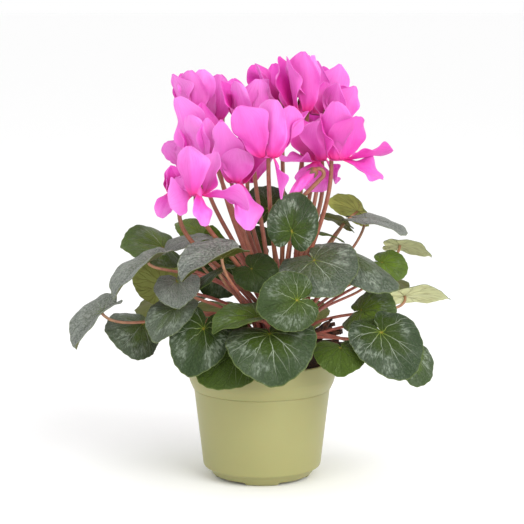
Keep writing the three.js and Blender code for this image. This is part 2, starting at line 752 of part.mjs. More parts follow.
function potGeometry() {
  const wall = turned(
    [
      [0, FLOOR - WALL],
      [FOOT_RADIUS - FOOT_RIDGE, FLOOR - WALL],
      [FOOT_RADIUS - FOOT_RIDGE + 0.5, 0],
      [FOOT_RADIUS - 1.5, 0],
      [FOOT_RADIUS, 1.5],
      [FOOT_RADIUS + FOOT_FLARE, FOOT_HEIGHT],
      [WALL_END_RADIUS, WALL_END],
      [NECK_RADIUS, COLLAR_UNDER],
      [RIM_RADIUS, COLLAR_END],
      [RIM_RADIUS + 0.3, POT_HEIGHT - 0.8],
      [RIM_RADIUS - 0.6, POT_HEIGHT],
      [RIM_RADIUS - WALL, POT_HEIGHT - 0.6],
      [RIM_RADIUS - WALL, COLLAR_END],
      [NECK_RADIUS - WALL, COLLAR_UNDER - 1],
      [WALL_END_RADIUS - WALL - 0.2, WALL_END + 2],
      [FOOT_RADIUS + FOOT_FLARE - WALL - 0.6, WALL_END],
      [FOOT_RADIUS - WALL - 0.6, FLOOR],
      [0, FLOOR],
    ],
    POT_SIDES,
  );
  let solid = toSolid(wall);
  for (let i = 0; i < DRAIN_HOLES; i += 1) {
    const hole = new THREE.CylinderGeometry(DRAIN_HOLE_RADIUS, DRAIN_HOLE_RADIUS, 2 * FLOOR, 8);
    const bearing = (2 * Math.PI * i) / DRAIN_HOLES;
    hole.rotateX(Math.PI / 2);
    hole.translate(DRAIN_CIRCLE * Math.cos(bearing), DRAIN_CIRCLE * Math.sin(bearing), FLOOR);
    solid = solid.subtract(toSolid(hole));
  }
  for (let i = 0; i < FOOT_NOTCHES; i += 1) {
    const notch = new THREE.BoxGeometry(4 * FOOT_RIDGE, NOTCH_WIDTH, 2 * NOTCH_HEIGHT);
    notch.translate(FOOT_RADIUS, 0, 0);
    notch.rotateZ((2 * Math.PI * (i + 0.5)) / FOOT_NOTCHES);
    solid = solid.subtract(toSolid(notch));
  }
  return toGeometry(solid);
}

function tuberGeometry() {
  const geometry = turned(
    [
      [0, SOIL_TOP - TUBER_DEPTH],
      [0.55 * TUBER_RADIUS, SOIL_TOP - TUBER_DEPTH + 2],
      [0.9 * TUBER_RADIUS, SOIL_TOP - TUBER_DEPTH / 2],
      [TUBER_RADIUS, SOIL_TOP],
      [0.9 * TUBER_RADIUS, TUBER_TOP - 1.5 * CROWN_DEPTH],
      [0.8 * TUBER_RADIUS, TUBER_TOP - CROWN_DEPTH],
      [0, TUBER_TOP - CROWN_DEPTH],
    ],
    TUBER_SIDES,
  );
  geometry.translate(CROWN_X, CROWN_Y, 0);
  return geometry;
}

function soilGeometry() {
  const body = turned(
    [
      [0, FLOOR + GAP],
      [FOOT_RADIUS - WALL - 1.1, FLOOR + GAP],
      [FOOT_RADIUS + FOOT_FLARE - WALL - 1.4, WALL_END + 0.6],
      [WALL_END_RADIUS - WALL - 1.1, WALL_END + 2.6],
      [NECK_RADIUS - WALL - 0.9, COLLAR_UNDER - 1],
      [RIM_RADIUS - WALL - 0.9, COLLAR_END + 0.5],
      [RIM_RADIUS - WALL - 0.9, SOIL_TOP - SOIL_FALL],
      [0.6 * RIM_RADIUS, SOIL_TOP],
      [0, SOIL_TOP + 1],
    ],
    SOIL_SIDES,
  );
  const recess = turned(
    [
      [0, SOIL_TOP - TUBER_DEPTH - GAP],
      [0.6 * TUBER_RADIUS, SOIL_TOP - TUBER_DEPTH - GAP],
      [TUBER_RADIUS + 0.6, SOIL_TOP - TUBER_DEPTH / 2],
      [TUBER_RADIUS + 0.6, SOIL_TOP + 6],
      [0, SOIL_TOP + 6],
    ],
    TUBER_SIDES,
  );
  recess.translate(CROWN_X, CROWN_Y, 0);
  return toGeometry(toSolid(body).subtract(toSolid(recess)));
}

// The crown of the tuber: a low ring that carries the leaf stalks, round a disc for the flowers
function leafCrown() {
  const geometry = turned(
    [
      [LEAF_CROWN_INNER, TUBER_TOP - CROWN_DEPTH + GAP],
      [LEAF_CROWN_OUTER - 1.5, TUBER_TOP - CROWN_DEPTH + GAP],
      [LEAF_CROWN_OUTER - 1.5, TUBER_TOP - 1],
      [LEAF_CROWN_INNER, TUBER_TOP],
      [LEAF_CROWN_INNER, TUBER_TOP - CROWN_DEPTH + GAP],
    ],
    TUBER_SIDES,
  );
  geometry.translate(CROWN_X, CROWN_Y, 0);
  return geometry;
}

function flowerCrown() {
  const geometry = turned(
    [
      [0, TUBER_TOP - CROWN_DEPTH + GAP],
      [FLOWER_CROWN_RADIUS, TUBER_TOP - CROWN_DEPTH + GAP],
      [FLOWER_CROWN_RADIUS - 1, TUBER_TOP],
      [0, TUBER_TOP + 2],
    ],
    TUBER_SIDES,
  );
  geometry.translate(CROWN_X, CROWN_Y, 0);
  return geometry;
}

// The whole plant

const group = new THREE.Group();

function place(name, geometry, skin) {
  const mesh = new THREE.Mesh(geometry, skin);
  mesh.name = name;
  group.add(mesh);
  return mesh;
}

place('pot', potGeometry(), potPlastic);
place('soil', soilGeometry(), peat);
place('tuber', tuberGeometry(), tuberSkin);
const leafGrowth = [leafCrown(), ...LEAVES.map(leafStalk), ...YOUNG_LEAVES.map(youngLeaf)];
const flowerGrowth = [flowerCrown(), ...BLOOMS.map(flowerStalk), ...BUDS.map(flowerStalk)];
place('leaf_stalks', fuse(leafGrowth), leafStalkSkin);
place('flower_stalks', fuse(flowerGrowth), flowerStalkSkin);
for (const leaf of LEAVES) {
  const mesh = place(leaf.name, bladeGeometry(leaf), leafGreen);
  mesh.applyMatrix4(bladeMatrix(bladeFrame(leaf)));
}
BLOOMS.forEach((bloom) => place(bloom.name, bloomGeometry(bloom), petalPink));
BUDS.forEach((bud) => place(bud.name, budGeometry(bud), petalPink));

export default group;
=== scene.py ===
# %% [markdown]
# # A potted cyclamen
# A florist's cyclamen stands in a pale green nursery pot. Some forty heart-shaped leaves lean
# out of it on red-brown stalks, and seventeen magenta blooms stand above them with their petals
# turned back. The CAD model holds the plain solids: this lesson replaces each of them with a
# finer surface on the same measures, and gives every surface its finish.

import math

import bpy
import numpy as np
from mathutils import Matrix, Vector


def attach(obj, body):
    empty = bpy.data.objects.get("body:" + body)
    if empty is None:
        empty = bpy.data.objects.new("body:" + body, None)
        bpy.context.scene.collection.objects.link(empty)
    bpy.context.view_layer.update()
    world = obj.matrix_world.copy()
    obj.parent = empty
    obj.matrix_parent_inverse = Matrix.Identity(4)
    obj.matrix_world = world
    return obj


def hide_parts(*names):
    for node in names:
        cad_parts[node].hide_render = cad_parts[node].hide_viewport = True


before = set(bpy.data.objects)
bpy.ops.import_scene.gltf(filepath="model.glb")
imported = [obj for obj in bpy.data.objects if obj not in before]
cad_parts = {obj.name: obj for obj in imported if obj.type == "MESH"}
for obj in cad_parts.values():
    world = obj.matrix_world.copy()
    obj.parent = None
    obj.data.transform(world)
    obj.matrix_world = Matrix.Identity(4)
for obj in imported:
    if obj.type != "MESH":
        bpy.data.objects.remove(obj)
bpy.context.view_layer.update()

# %% [markdown]
# ## Camera, light and floor
# The photograph was taken from about 1.4 m away, from a little above the tallest bloom. The camera
# looks at a point halfway up the plant, and its angle of view takes in just what the photograph
# shows. The light is that of a studio. A picture of one wrapped round the scene would do too, but
# two lamps in a white room are easier to move: a broad soft one on the right, a weaker one on the
# left. The floor is plain and pale.

# %% Camera
PHOTO_SIDE = 524
FOCAL_PIXELS = 1745
CAMERA_PLACE = (0, -1.4, 0.385)
CAMERA_TARGET = (0, 0, 0.1765)


def aim(thing, place, target):
    """Stands a camera or a lamp at its place and turns it to look at the target."""
    thing.location = place
    sight = Vector(target) - thing.location
    thing.rotation_euler = sight.to_track_quat("-Z", "Y").to_euler()
    bpy.context.collection.objects.link(thing)


camera_data = bpy.data.cameras.new("camera")
camera_data.angle = 2 * math.atan(PHOTO_SIDE / 2 / FOCAL_PIXELS)
camera = bpy.data.objects.new("camera", camera_data)
aim(camera, CAMERA_PLACE, CAMERA_TARGET)
bpy.context.scene.camera = camera
print("camera angle:", round(math.degrees(camera_data.angle), 2), "degrees")

# %% Lamps and the white surroundings
LAMP_TARGET = (0, 0, 0.2)


def lamp(name, place, size, power):
    """A square lamp that looks at the plant, with its side in metres and its power in watts."""
    data = bpy.data.lights.new(name, "AREA")
    data.size, data.energy = size, power
    aim(bpy.data.objects.new(name, data), place, LAMP_TARGET)
    print("lamp", name, power, "W")


lamp("key", (1.0, -1.35, 1.2), 1.3, 28)
lamp("fill", (-1.5, -1.4, 1.0), 1.4, 3)
world = bpy.data.worlds.new("studio")
world.use_nodes = True
world.node_tree.nodes["Background"].inputs["Color"].default_value = (1, 1, 1, 1)
world.node_tree.nodes["Background"].inputs["Strength"].default_value = 1.0
bpy.context.scene.world = world
bpy.context.scene.view_settings.view_transform = "Standard"

# %% [markdown]
# ## A small language for finishes
# A finish is a graph of shader nodes. Written out node by node it is long and hard to read, so a
# `Field` stands for one number that varies over a surface, and Python's own signs put in the
# Math nodes. Every mesh below carries two point attributes that a finish can read: `shape`, the
# place of the point on its own petal, blade or stalk, and `tone`, which tells one from another.

# %% Fields and finishes
def rgb(red, green, blue):
    """A colour from the values 0 to 255 of a picture, as the linear light that shaders use."""
    value = np.array([red, green, blue]) / 255
    linear = np.where(value < 0.04045, value / 12.92, ((value + 0.055) / 1.055) ** 2.4)
    return (*linear.tolist(), 1.0)


print("a mid grey as linear light:", round(rgb(128, 128, 128)[0], 3))


class Field:
    """A number that varies over a surface, as the output of a shader node."""

    def __init__(self, finish, socket):
        self.finish, self.socket = finish, socket

    def math(self, operation, *others):
        """This field and others, put through one Math node."""
        node = self.finish.node("ShaderNodeMath", operation=operation)
        for place, value in zip(node.inputs, (self, *others)):
            self.finish.feed(place, value)
        return Field(self.finish, node.outputs[0])

    def ramp(self, low, high):
        """0 below low, 1 above high and smooth between; with low above high it falls."""
        node = self.finish.node("ShaderNodeMapRange", interpolation_type="SMOOTHSTEP")
        for name, value in (("Value", self), ("From Min", low), ("From Max", high)):
            self.finish.feed(node.inputs[name], value)
        return Field(self.finish, node.outputs[0])

    def __add__(self, other):
        return self.math("ADD", other)

    def __sub__(self, other):
        return self.math("SUBTRACT", other)

    def __mul__(self, other):
        return self.math("MULTIPLY", other)

    def __truediv__(self, other):
        return self.math("DIVIDE", other)

    def __abs__(self):
        return self.math("ABSOLUTE")


class Finish:
    """A material with one Principled shader, whose sockets are fed by fields."""

    def __init__(self, name, **sockets):
        self.material = bpy.data.materials.new(name)
        self.material.use_nodes = True
        self.tree = self.material.node_tree
        self.surface = self.tree.nodes["Principled BSDF"]
        for socket, value in sockets.items():
            self.surface.inputs[socket.replace("_", " ")].default_value = value
        print("finish", name)

    def node(self, kind, **settings):
        """A new node of a kind, with its settings."""
        node = self.tree.nodes.new(kind)
        for key, value in settings.items():
            setattr(node, key, value)
        return node

    def feed(self, socket, value):
        """Links a field to a socket, or sets a plain value on it."""
        if isinstance(value, Field):
            self.tree.links.new(value.socket, socket)
        else:
            socket.default_value = value

    def attribute(self, name):
        """The three numbers of a point attribute."""
        source = self.node("ShaderNodeAttribute", attribute_name=name)
        split = self.node("ShaderNodeSeparateXYZ")
        self.tree.links.new(source.outputs["Vector"], split.inputs[0])
        return [Field(self, socket) for socket in split.outputs]

    def vector(self, x, y, z=0.0):
        """Three numbers as one place."""
        node = self.node("ShaderNodeCombineXYZ")
        for place, value in zip(node.inputs, (x, y, z)):
            self.feed(place, value)
        return Field(self, node.outputs[0])

    def place(self):
        """The point itself, in metres."""
        return Field(self, self.node("ShaderNodeTexCoord").outputs["Object"])

    def noise(self, where, scale, detail=2.0):
        """A smooth random number from 0 to 1 at each place."""
        node = self.node("ShaderNodeTexNoise")
        for name, value in (("Vector", where), ("Scale", scale), ("Detail", detail)):
            self.feed(node.inputs[name], value)
        return Field(self, node.outputs[0])

    def cells(self, where, scale):
        """The distance to the nearest wall between cells."""
        node = self.node("ShaderNodeTexVoronoi", feature="DISTANCE_TO_EDGE")
        self.feed(node.inputs["Vector"], where)
        self.feed(node.inputs["Scale"], scale)
        return Field(self, node.outputs[0])

    def mix(self, share, first, second):
        """The first colour where share is 0, the second where it is 1."""
        node = self.node("ShaderNodeMix", data_type="RGBA")
        for place, value in zip((0, 6, 7), (share, first, second)):
            self.feed(node.inputs[place], value)
        return Field(self, node.outputs[2])

    def layers(self, colour, *above):
        """A colour with others laid over it in turn, each by its own share."""
        for share, upper in above:
            colour = self.mix(share, colour, upper)
        return colour

    def bump(self, height, distance, strength):
        """Shades the surface as if the height, times a distance in metres, stood out of it."""
        node = self.node("ShaderNodeBump")
        node.inputs["Strength"].default_value = strength
        node.inputs["Distance"].default_value = distance
        self.feed(node.inputs["Height"], height)
        self.tree.links.new(node.outputs[0], self.surface.inputs["Normal"])

    def colour(self, value):
        """Gives the shader its base colour."""
        self.feed(self.surface.inputs["Base Color"], value)


# %% Floor
STAGE_RADIUS = 60
floor_finish = Finish("floor_paper", Roughness=0.9)
floor_grain = floor_finish.noise(floor_finish.place(), 40.0)
darker, paler = (0.975, 0.975, 0.975, 1), (0.985, 0.985, 0.985, 1)
floor_finish.colour(floor_finish.mix(floor_grain, darker, paler))
bpy.ops.mesh.primitive_circle_add(vertices=128, radius=STAGE_RADIUS, fill_type="NGON")
floor = bpy.context.object
floor.name = "floor"
floor.data.materials.append(floor_finish.material)
print("floor: radius", STAGE_RADIUS, "m")

# %% [markdown]
# ## Surfaces from grids
# Leaves and petals could be sculpted, but a formula can be read, measured and changed by one
# number, so each piece here is one or more grids of points. A grid is worked out as whole arrays:
# a formula takes the two numbers that say where a point is on the grid and gives its place in
# space. `Piece` collects grids and makes one mesh of them. Points that fall together become one,
# so poles and seams close.

# %% Grids and pieces
MM = 0.001
WELD = 1e-7
SMOOTH_BELOW = math.radians(55)


def unit(vectors):
    """Vectors shortened or lengthened to 1."""
    return vectors / np.maximum(np.linalg.norm(vectors, axis=-1, keepdims=True), 1e-12)


def circle(count):
    """Angles spaced evenly round a full turn."""
    return np.linspace(0, 2 * np.pi, count, endpoint=False)


def joined(*parts):
    """Arrays spread to the shape they share, and side by side along a new last axis."""
    return np.stack(np.broadcast_arrays(*parts), -1)


def quads(index):
    """The faces between neighbours of a grid of point numbers."""
    corners = (index[:-1, :-1], index[:-1, 1:], index[1:, 1:], index[1:, :-1])
    return np.stack(corners, -1).reshape(-1, 4)


class Piece:
    """Grids of points that become one object."""

    def __init__(self):
        self.points, self.faces, self.kinds, self.shapes, self.tones = [], [], [], [], []
        self.count = 0

    def add(self, points, faces, kinds, shape, tone):
        """Points and faces, the finish of each face, and what the two attributes say."""
        points = points.reshape(-1, 3)
        self.points.append(points)
        self.faces.append(faces + self.count)
        self.kinds.append(np.broadcast_to(kinds, len(faces)))
        self.shapes.append(np.broadcast_to(shape, (len(points), 3)))
        self.tones.append(np.broadcast_to(tone, (len(points), 3)))
        self.count += len(points)

    def skin(self, grid, shape=(0, 0, 0), tone=(0, 0, 0), kind=0):
        """A closed skin: the grid's rows follow each other, and each row is a closed ring."""
        index = np.arange(grid.shape[0] * grid.shape[1]).reshape(grid.shape[:2])
        index = np.hstack([index, index[:, :1]])
        self.add(grid, quads(index), kind, np.reshape(shape, (-1, 3)), tone)

    def sheet(self, grid, thickness, shape, tone, around=False, kinds=(0, 0)):
        """A leaf-thin body: two faces half a thickness to either side of the grid, along its
        own normal, which is the cross product of its steps to the next column and row, and
        the strip that joins them along the edge. With around, the last row meets the first."""
        wide = np.concatenate([grid[-1:], grid, grid[:1]]) if around else grid
        normal = unit(np.cross(np.gradient(wide, axis=1), np.gradient(wide, axis=0)))
        normal = normal[1:-1] if around else normal
        if np.allclose(grid[0, 0], grid[-1, 0]) and not around:
            normal[:, 0] = unit(normal[:, 1].mean(axis=0))
        half = np.reshape(thickness, (1, -1, 1)) / 2 * normal
        index = np.arange(grid.shape[0] * grid.shape[1]).reshape(grid.shape[:2])
        if around:
            index = np.vstack([index, index[:1]])
            edges = [index[:, -1], index[::-1, 0]]
        else:
            edges = [index[0], index[:, -1], index[-1, ::-1], index[::-1, 0]]
        below = index.max() + 1
        top = quads(index)
        rims = [np.stack([e[1:], e[:-1], e[:-1] + below, e[1:] + below], -1) for e in edges]
        faces = np.concatenate([top, top[:, ::-1] + below, *rims])
        kind = np.full(len(faces), kinds[0])
        kind[len(top) : 2 * len(top)] = kinds[1]
        both = np.concatenate([(grid + half).reshape(-1, 3), (grid - half).reshape(-1, 3)])
        shapes = np.broadcast_to(shape, grid.shape).reshape(-1, 3)
        self.add(both, faces, kind, np.concatenate([shapes, shapes]), tone)

    def build(self, name, finishes, node, slot):
        """The mesh object, in place of its CAD node. A face keeps the corners that differ from
        the next one, and with fewer than three of them it is left out."""
        points, faces = np.concatenate(self.points), np.concatenate(self.faces)
        keys = np.round(points / WELD).astype(np.int64)
        _, first, which = np.unique(keys, axis=0, return_index=True, return_inverse=True)
        corners = which.reshape(-1)[faces]
        kept = corners != np.roll(corners, -1, axis=1)
        real = kept.sum(axis=1) >= 3
        corners, kept, kinds = corners[real], kept[real], np.concatenate(self.kinds)[real]
        sizes = kept.sum(axis=1)
        starts = np.cumsum(sizes) - sizes
        mesh = bpy.data.meshes.new(name)
        mesh.vertices.add(len(first))
        mesh.loops.add(int(sizes.sum()))
        mesh.polygons.add(len(sizes))
        mesh.vertices.foreach_set("co", points[first].astype(np.float32).ravel())
        mesh.loops.foreach_set("vertex_index", corners[kept].astype(np.int32))
        mesh.polygons.foreach_set("loop_start", starts.astype(np.int32))
        mesh.polygons.foreach_set("material_index", kinds.astype(np.int32))
        for title, parts in (("shape", self.shapes), ("tone", self.tones)):
            values = np.concatenate(parts)[first].astype(np.float32)
            layer = mesh.attributes.new(title, "FLOAT_VECTOR", "POINT")
            layer.data.foreach_set("vector", values.ravel())
        mesh.update(calc_edges=True)
        mesh.validate()
        mesh.shade_smooth()
        mesh.set_sharp_from_angle(angle=SMOOTH_BELOW)
        for finish in finishes:
            mesh.materials.append(finish.material)
        piece = bpy.data.objects.new(name, mesh)
        bpy.context.collection.objects.link(piece)
        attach(piece, "root")
        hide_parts(node)
        print(name, "-", len(first), "points,", int((sizes - 2).sum()), "triangles")
        return piece


print("points within", WELD, "m of each other become one")

# %% [markdown]
# ## Pot
# A nursery pot is pressed from thin plastic: a conical wall, a collar that stands out over a fine
# groove, a rolled lip at the wall's lower end, and a foot ring that is notched so that water
# drains away. It is a turned shape, so one profile goes round the axis. The corners of the
# profile are rounded with small curves, because moulded plastic has no sharp edge, and a bevel
# could not tell a corner from a groove. The notches and the drain holes are cut out afterwards.

# %% Turned shapes
def rounded(profile, radius, steps=4):
    """A profile whose corners are short curves. At each corner a curve leads from the point one
    radius before it to the point one radius after it, and the corner itself pulls it:
    (1-t)^2 before + 2t(1-t) corner + t^2 after."""
    points = np.array(profile, float)
    corner, before, after = points[1:-1], points[:-2], points[2:]
    room = np.minimum(
        np.linalg.norm(corner - before, axis=1), np.linalg.norm(after - corner, axis=1)
    )
    reach = np.minimum(radius, 0.45 * room)[:, None]
    start = corner + unit(before - corner) * reach
    end = corner + unit(after - corner) * reach
    t = np.linspace(0, 1, steps)[None, :, None]
    curves = (1 - t) ** 2 * start[:, None] + 2 * t * (1 - t) * corner[:, None]
    curves = curves + t**2 * end[:, None]
    return np.concatenate([points[:1], curves.reshape(-1, 2), points[-1:]])


def turned(profile, sides, axes=np.eye(3), centre=(0, 0, 0), folds=0.0):
    """A profile of radius and height, carried round the third axis. folds lets the radius swell
    and shrink five times on the way round."""
    radius, height = np.array(profile, float).T[..., None] * MM
    angle = circle(sides)
    swell = 1 + folds * np.cos(5 * angle)
    x = radius * np.cos(angle) * swell
    y = radius * np.sin(angle) * swell
    return joined(x, y, height) @ np.asarray(axes) + np.asarray(centre)


print("a rounded corner has", len(rounded([(0, 0), (1, 0), (1, 1)], 0.2)) - 2, "points")

# %% Pot measures
RIM_RADIUS = 60
POT_HEIGHT = 98
COLLAR_END = 82
COLLAR_UNDER = 74
NECK_RADIUS = 55.6
WALL_END = 10
WALL_END_RADIUS = 48.2
FOOT_RADIUS = 40
FOOT_FLARE = 4
FOOT_HEIGHT = 7
WALL = 1.6
FLOOR = 5.4
FOOT_RIDGE = 5
POT_PROFILE = [
    (0, FLOOR - WALL),
    (FOOT_RADIUS - FOOT_RIDGE, FLOOR - WALL),
    (FOOT_RADIUS - FOOT_RIDGE + 0.5, 0),
    (FOOT_RADIUS - 1.5, 0),
    (FOOT_RADIUS, 1.5),
    (FOOT_RADIUS + FOOT_FLARE, FOOT_HEIGHT),
    (WALL_END_RADIUS - 2.6, WALL_END - 0.6),
    (WALL_END_RADIUS - 0.8, WALL_END - 1.2),
    (WALL_END_RADIUS, WALL_END),
    (NECK_RADIUS, COLLAR_UNDER - 1.2),
    (NECK_RADIUS - 0.4, COLLAR_UNDER - 0.5),
    (NECK_RADIUS + 0.9, COLLAR_UNDER - 0.2),
    (NECK_RADIUS + 1.2, COLLAR_UNDER + 0.5),
    (RIM_RADIUS - 0.9, COLLAR_END - 2.2),
    (RIM_RADIUS, COLLAR_END + 1.5),
    (RIM_RADIUS + 0.3, POT_HEIGHT - 0.8),
    (RIM_RADIUS - 0.6, POT_HEIGHT),
    (RIM_RADIUS - WALL, POT_HEIGHT - 0.6),
    (RIM_RADIUS - WALL, COLLAR_END),
    (NECK_RADIUS - WALL, COLLAR_UNDER - 1),
    (WALL_END_RADIUS - WALL - 0.2, WALL_END + 2),
    (FOOT_RADIUS + FOOT_FLARE - WALL - 0.6, WALL_END),
    (FOOT_RADIUS - WALL - 0.6, FLOOR),
    (0, FLOOR),
]
print("pot:", 2 * RIM_RADIUS, "mm wide,", POT_HEIGHT, "mm high")

# %% Pot body
POT_SIDES = 160
pot_finish = Finish("pot_plastic", Roughness=0.42, Subsurface_Weight=0.15, Subsurface_Scale=0.004)
pot_cloud = pot_finish.noise(pot_finish.place(), 18.0, 3.0)
pot_finish.colour(pot_finish.mix(pot_cloud, rgb(146, 143, 90), rgb(156, 153, 100)))
pot_finish.bump(pot_finish.noise(pot_finish.place(), 900.0, 2.0), 0.0001, 0.25)
pot_body = Piece()
pot_body.skin(turned(rounded(POT_PROFILE, 1.2), POT_SIDES))
pot = pot_body.build("potted_pot", [pot_finish], "pot", "pot_plastic")

# %% Notches and drain holes
FOOT_NOTCHES = 4
NOTCH_WIDTH = 34
NOTCH_HEIGHT = 2.6
DRAIN_HOLES = 6
DRAIN_HOLE_RADIUS = 4
DRAIN_CIRCLE = 26


def carve(piece, cutter):
    """Takes the cutter's body away from the piece, for good."""
    cut = piece.modifiers.new("cut", "BOOLEAN")
    cut.operation, cut.solver, cut.object = "DIFFERENCE", "EXACT", cutter
    graph = bpy.context.evaluated_depsgraph_get()
    carved = bpy.data.meshes.new_from_object(piece.evaluated_get(graph))
    piece.modifiers.clear()
    piece.data = carved
    bpy.data.objects.remove(cutter)


def round_the_foot(radius, height, share):
    """A place on a circle about the pot's axis, at a share of the full turn, and its bearing."""
    bearing = 2 * math.pi * share
    return np.array([radius * math.cos(bearing), radius * math.sin(bearing), height]) * MM, bearing


for i in range(FOOT_NOTCHES):
    spot, bearing = round_the_foot(FOOT_RADIUS, 0, (i + 0.5) / FOOT_NOTCHES)
    size = np.array([4 * FOOT_RIDGE, NOTCH_WIDTH, 2 * NOTCH_HEIGHT]) * MM
    bpy.ops.mesh.primitive_cube_add(size=1, location=spot, rotation=(0, 0, bearing), scale=size)
    carve(pot, bpy.context.object)
for i in range(DRAIN_HOLES):
    spot, bearing = round_the_foot(DRAIN_CIRCLE, FLOOR, i / DRAIN_HOLES)
    bpy.ops.mesh.primitive_cylinder_add(
        vertices=32, radius=DRAIN_HOLE_RADIUS * MM, depth=2 * FLOOR * MM, location=spot
    )
    carve(pot, bpy.context.object)
pot.data.shade_smooth()
pot.data.set_sharp_from_angle(angle=math.radians(35))
print(FOOT_NOTCHES, "notches,", DRAIN_HOLES, "holes:", len(pot.data.polygons), "faces")

# %% [markdown]
# ## Peat and tuber
# The pot is full of dark peat: loose lumps, short fibres and a few pale bits of dead stalk. It
# could be sculpted, but a disc whose height is a sum of waves in many directions gives the same
# rough ground each time. Crumbs and fibres are scattered over it with a fixed seed. The tuber
# under the stalks is a turned shape with the same kind of lumps.

# %% Rough ground
def rough(x, y, size, waves, seed):
    """A height mostly between -1 and 1: the sum of sine waves of about one size, each with its
    own direction, length and phase, times 0.8 and over the square root of their number."""
    draw = np.random.default_rng(seed)
    heading = draw.uniform(0, 2 * np.pi, waves)
    pitch = 2 * np.pi / (size * draw.uniform(0.6, 1.6, waves))
    phase = draw.uniform(0, 2 * np.pi, waves)
    along = x[..., None] * np.cos(heading) + y[..., None] * np.sin(heading)
    return np.sin(along * pitch + phase).sum(axis=-1) / math.sqrt(waves) * 0.8


SOIL_TOP = 98
SOIL_FALL = 9
SOIL_EDGE = RIM_RADIUS - WALL - 0.9
TUBER_RADIUS = 25
TUBER_TOP = 106
TUBER_DEPTH = 32
CROWN_X = 14
CROWN_Y = 0
CROWN = np.array([CROWN_X, CROWN_Y, 0]) * MM
HEAP_X, HEAP_Y = 46, -7
HEAP_HEIGHT = 20
HEAP_SPREAD = 13
GAP = 0.35


def ground(x, y):
    """Height of the peat, without its bumps: level, then falling towards the pot's wall, with a
    heap pressed against the stalks."""
    fall = SOIL_FALL * np.clip((np.hypot(x, y) / SOIL_EDGE - 0.6) / 0.4, 0, 1)
    heap = HEAP_HEIGHT * np.exp(-((x - HEAP_X) ** 2 + (y - HEAP_Y) ** 2) / HEAP_SPREAD**2)
    return SOIL_TOP - fall + heap


print("the heap rises to", round(float(ground(HEAP_X, HEAP_Y)), 1), "mm")

# %% Rough and dull finishes
def grainy(name, roughness, grain, detail, band, dark, light, depth, strength=0.8):
    """Two colours by a fine noise, which dents the surface too. Where tone is above 0 the colour
    turns to that of straw."""
    finish = Finish(name, Roughness=roughness)
    tone = finish.attribute("tone")[0]
    grains = finish.noise(finish.place(), grain, detail)
    base = finish.mix(grains.ramp(*band), dark, light)
    finish.colour(finish.mix(tone, base, rgb(150, 118, 84)))
    finish.bump(grains, depth, strength)
    return finish


PEAT_COLOURS = rgb(22, 15, 12), rgb(66, 44, 32)
TUBER_COLOURS = rgb(44, 28, 20), rgb(96, 66, 46)
STUB_COLOURS = rgb(40, 24, 20), rgb(104, 66, 48)
peat_finish = grainy("peat_soil", 0.95, 450.0, 4.0, (0.3, 0.7), *PEAT_COLOURS, 0.0008, 0.9)
tuber_finish = grainy("tuber_bark", 0.85, 240.0, 5.0, (0.35, 0.65), *TUBER_COLOURS, 0.0012)
stub_finish = grainy("dead_stalk", 0.8, 260.0, 4.0, (0.4, 0.66), *STUB_COLOURS, 0.001)

# %% Peat surface and crumbs
CRUMBS = 420
CRUMB_SIDES = 6
SOIL_RINGS, SOIL_SPOKES = 60, 220
SOIL_SIDE = [
    (SOIL_EDGE, COLLAR_END + 0.5),
    (NECK_RADIUS - WALL - 0.9, COLLAR_UNDER - 1),
    (WALL_END_RADIUS - WALL - 1.1, WALL_END + 2.6),
    (FOOT_RADIUS + FOOT_FLARE - WALL - 1.4, WALL_END + 0.6),
    (FOOT_RADIUS - WALL - 1.1, FLOOR + GAP),
    (0, FLOOR + GAP),
]
soil_angle = circle(SOIL_SPOKES)
soil_radius = np.linspace(0, SOIL_EDGE, SOIL_RINGS)[:, None]
soil_x = soil_radius * np.cos(soil_angle)
soil_y = soil_radius * np.sin(soil_angle)
soil_bumps = 1.3 * rough(soil_x, soil_y, 14, 20, 1) + 0.7 * rough(soil_x, soil_y, 4, 24, 2)
soil_z = ground(soil_x, soil_y) + soil_bumps * np.clip(soil_radius / 6, 0, 1)
soil_disc = joined(soil_x, soil_y, soil_z) * MM
soil_body = Piece()
soil_body.skin(np.concatenate([soil_disc, turned(SOIL_SIDE, SOIL_SPOKES)])[::-1])
draw = np.random.default_rng(7)


def random_spot(nearest, farthest, sunk):
    """A point of the ground, spread evenly over the shares of its area between two limits, and
    sunk a little into it."""
    bearing, far = draw.uniform(0, 2 * math.pi), math.sqrt(draw.uniform(nearest, farthest))
    x, y = SOIL_EDGE * far * math.cos(bearing), SOIL_EDGE * far * math.sin(bearing)
    return np.array([x, y, ground(x, y) - sunk])


for i in range(CRUMBS):
    spot = random_spot(0.02, 0.94, 0.6)
    size = draw.uniform(0.5, 1.9)
    up = np.linspace(-1, 1, 5)
    ring = np.sqrt(np.maximum(0, 1 - up**2)) * size * draw.uniform(0.7, 1.2)
    lump = turned(joined(ring, up * size * 0.7), CRUMB_SIDES, centre=spot * MM)
    dents = draw.normal(0, 0.1 * size * MM, (1, CRUMB_SIDES, 3))
    lump = lump + dents * (ring > 0.01)[:, None, None]
    soil_body.skin(lump, tone=(draw.choice([0, 0, 0, 0.3, 0.7]), 0, 0))
print("crumbs:", CRUMBS)


# %% Routes and round skins
def bezier(points, count):
    """Points along a cubic curve: (1-t)^3 a + 3t(1-t)^2 b + 3t^2(1-t) c + t^3 d."""
    t = np.linspace(0, 1, count)[:, None]
    a, b, c, d = (np.asarray(p, float) for p in points)
    return (1 - t) ** 3 * a + 3 * t * (1 - t) ** 2 * b + 3 * t**2 * (1 - t) * c + t**3 * d


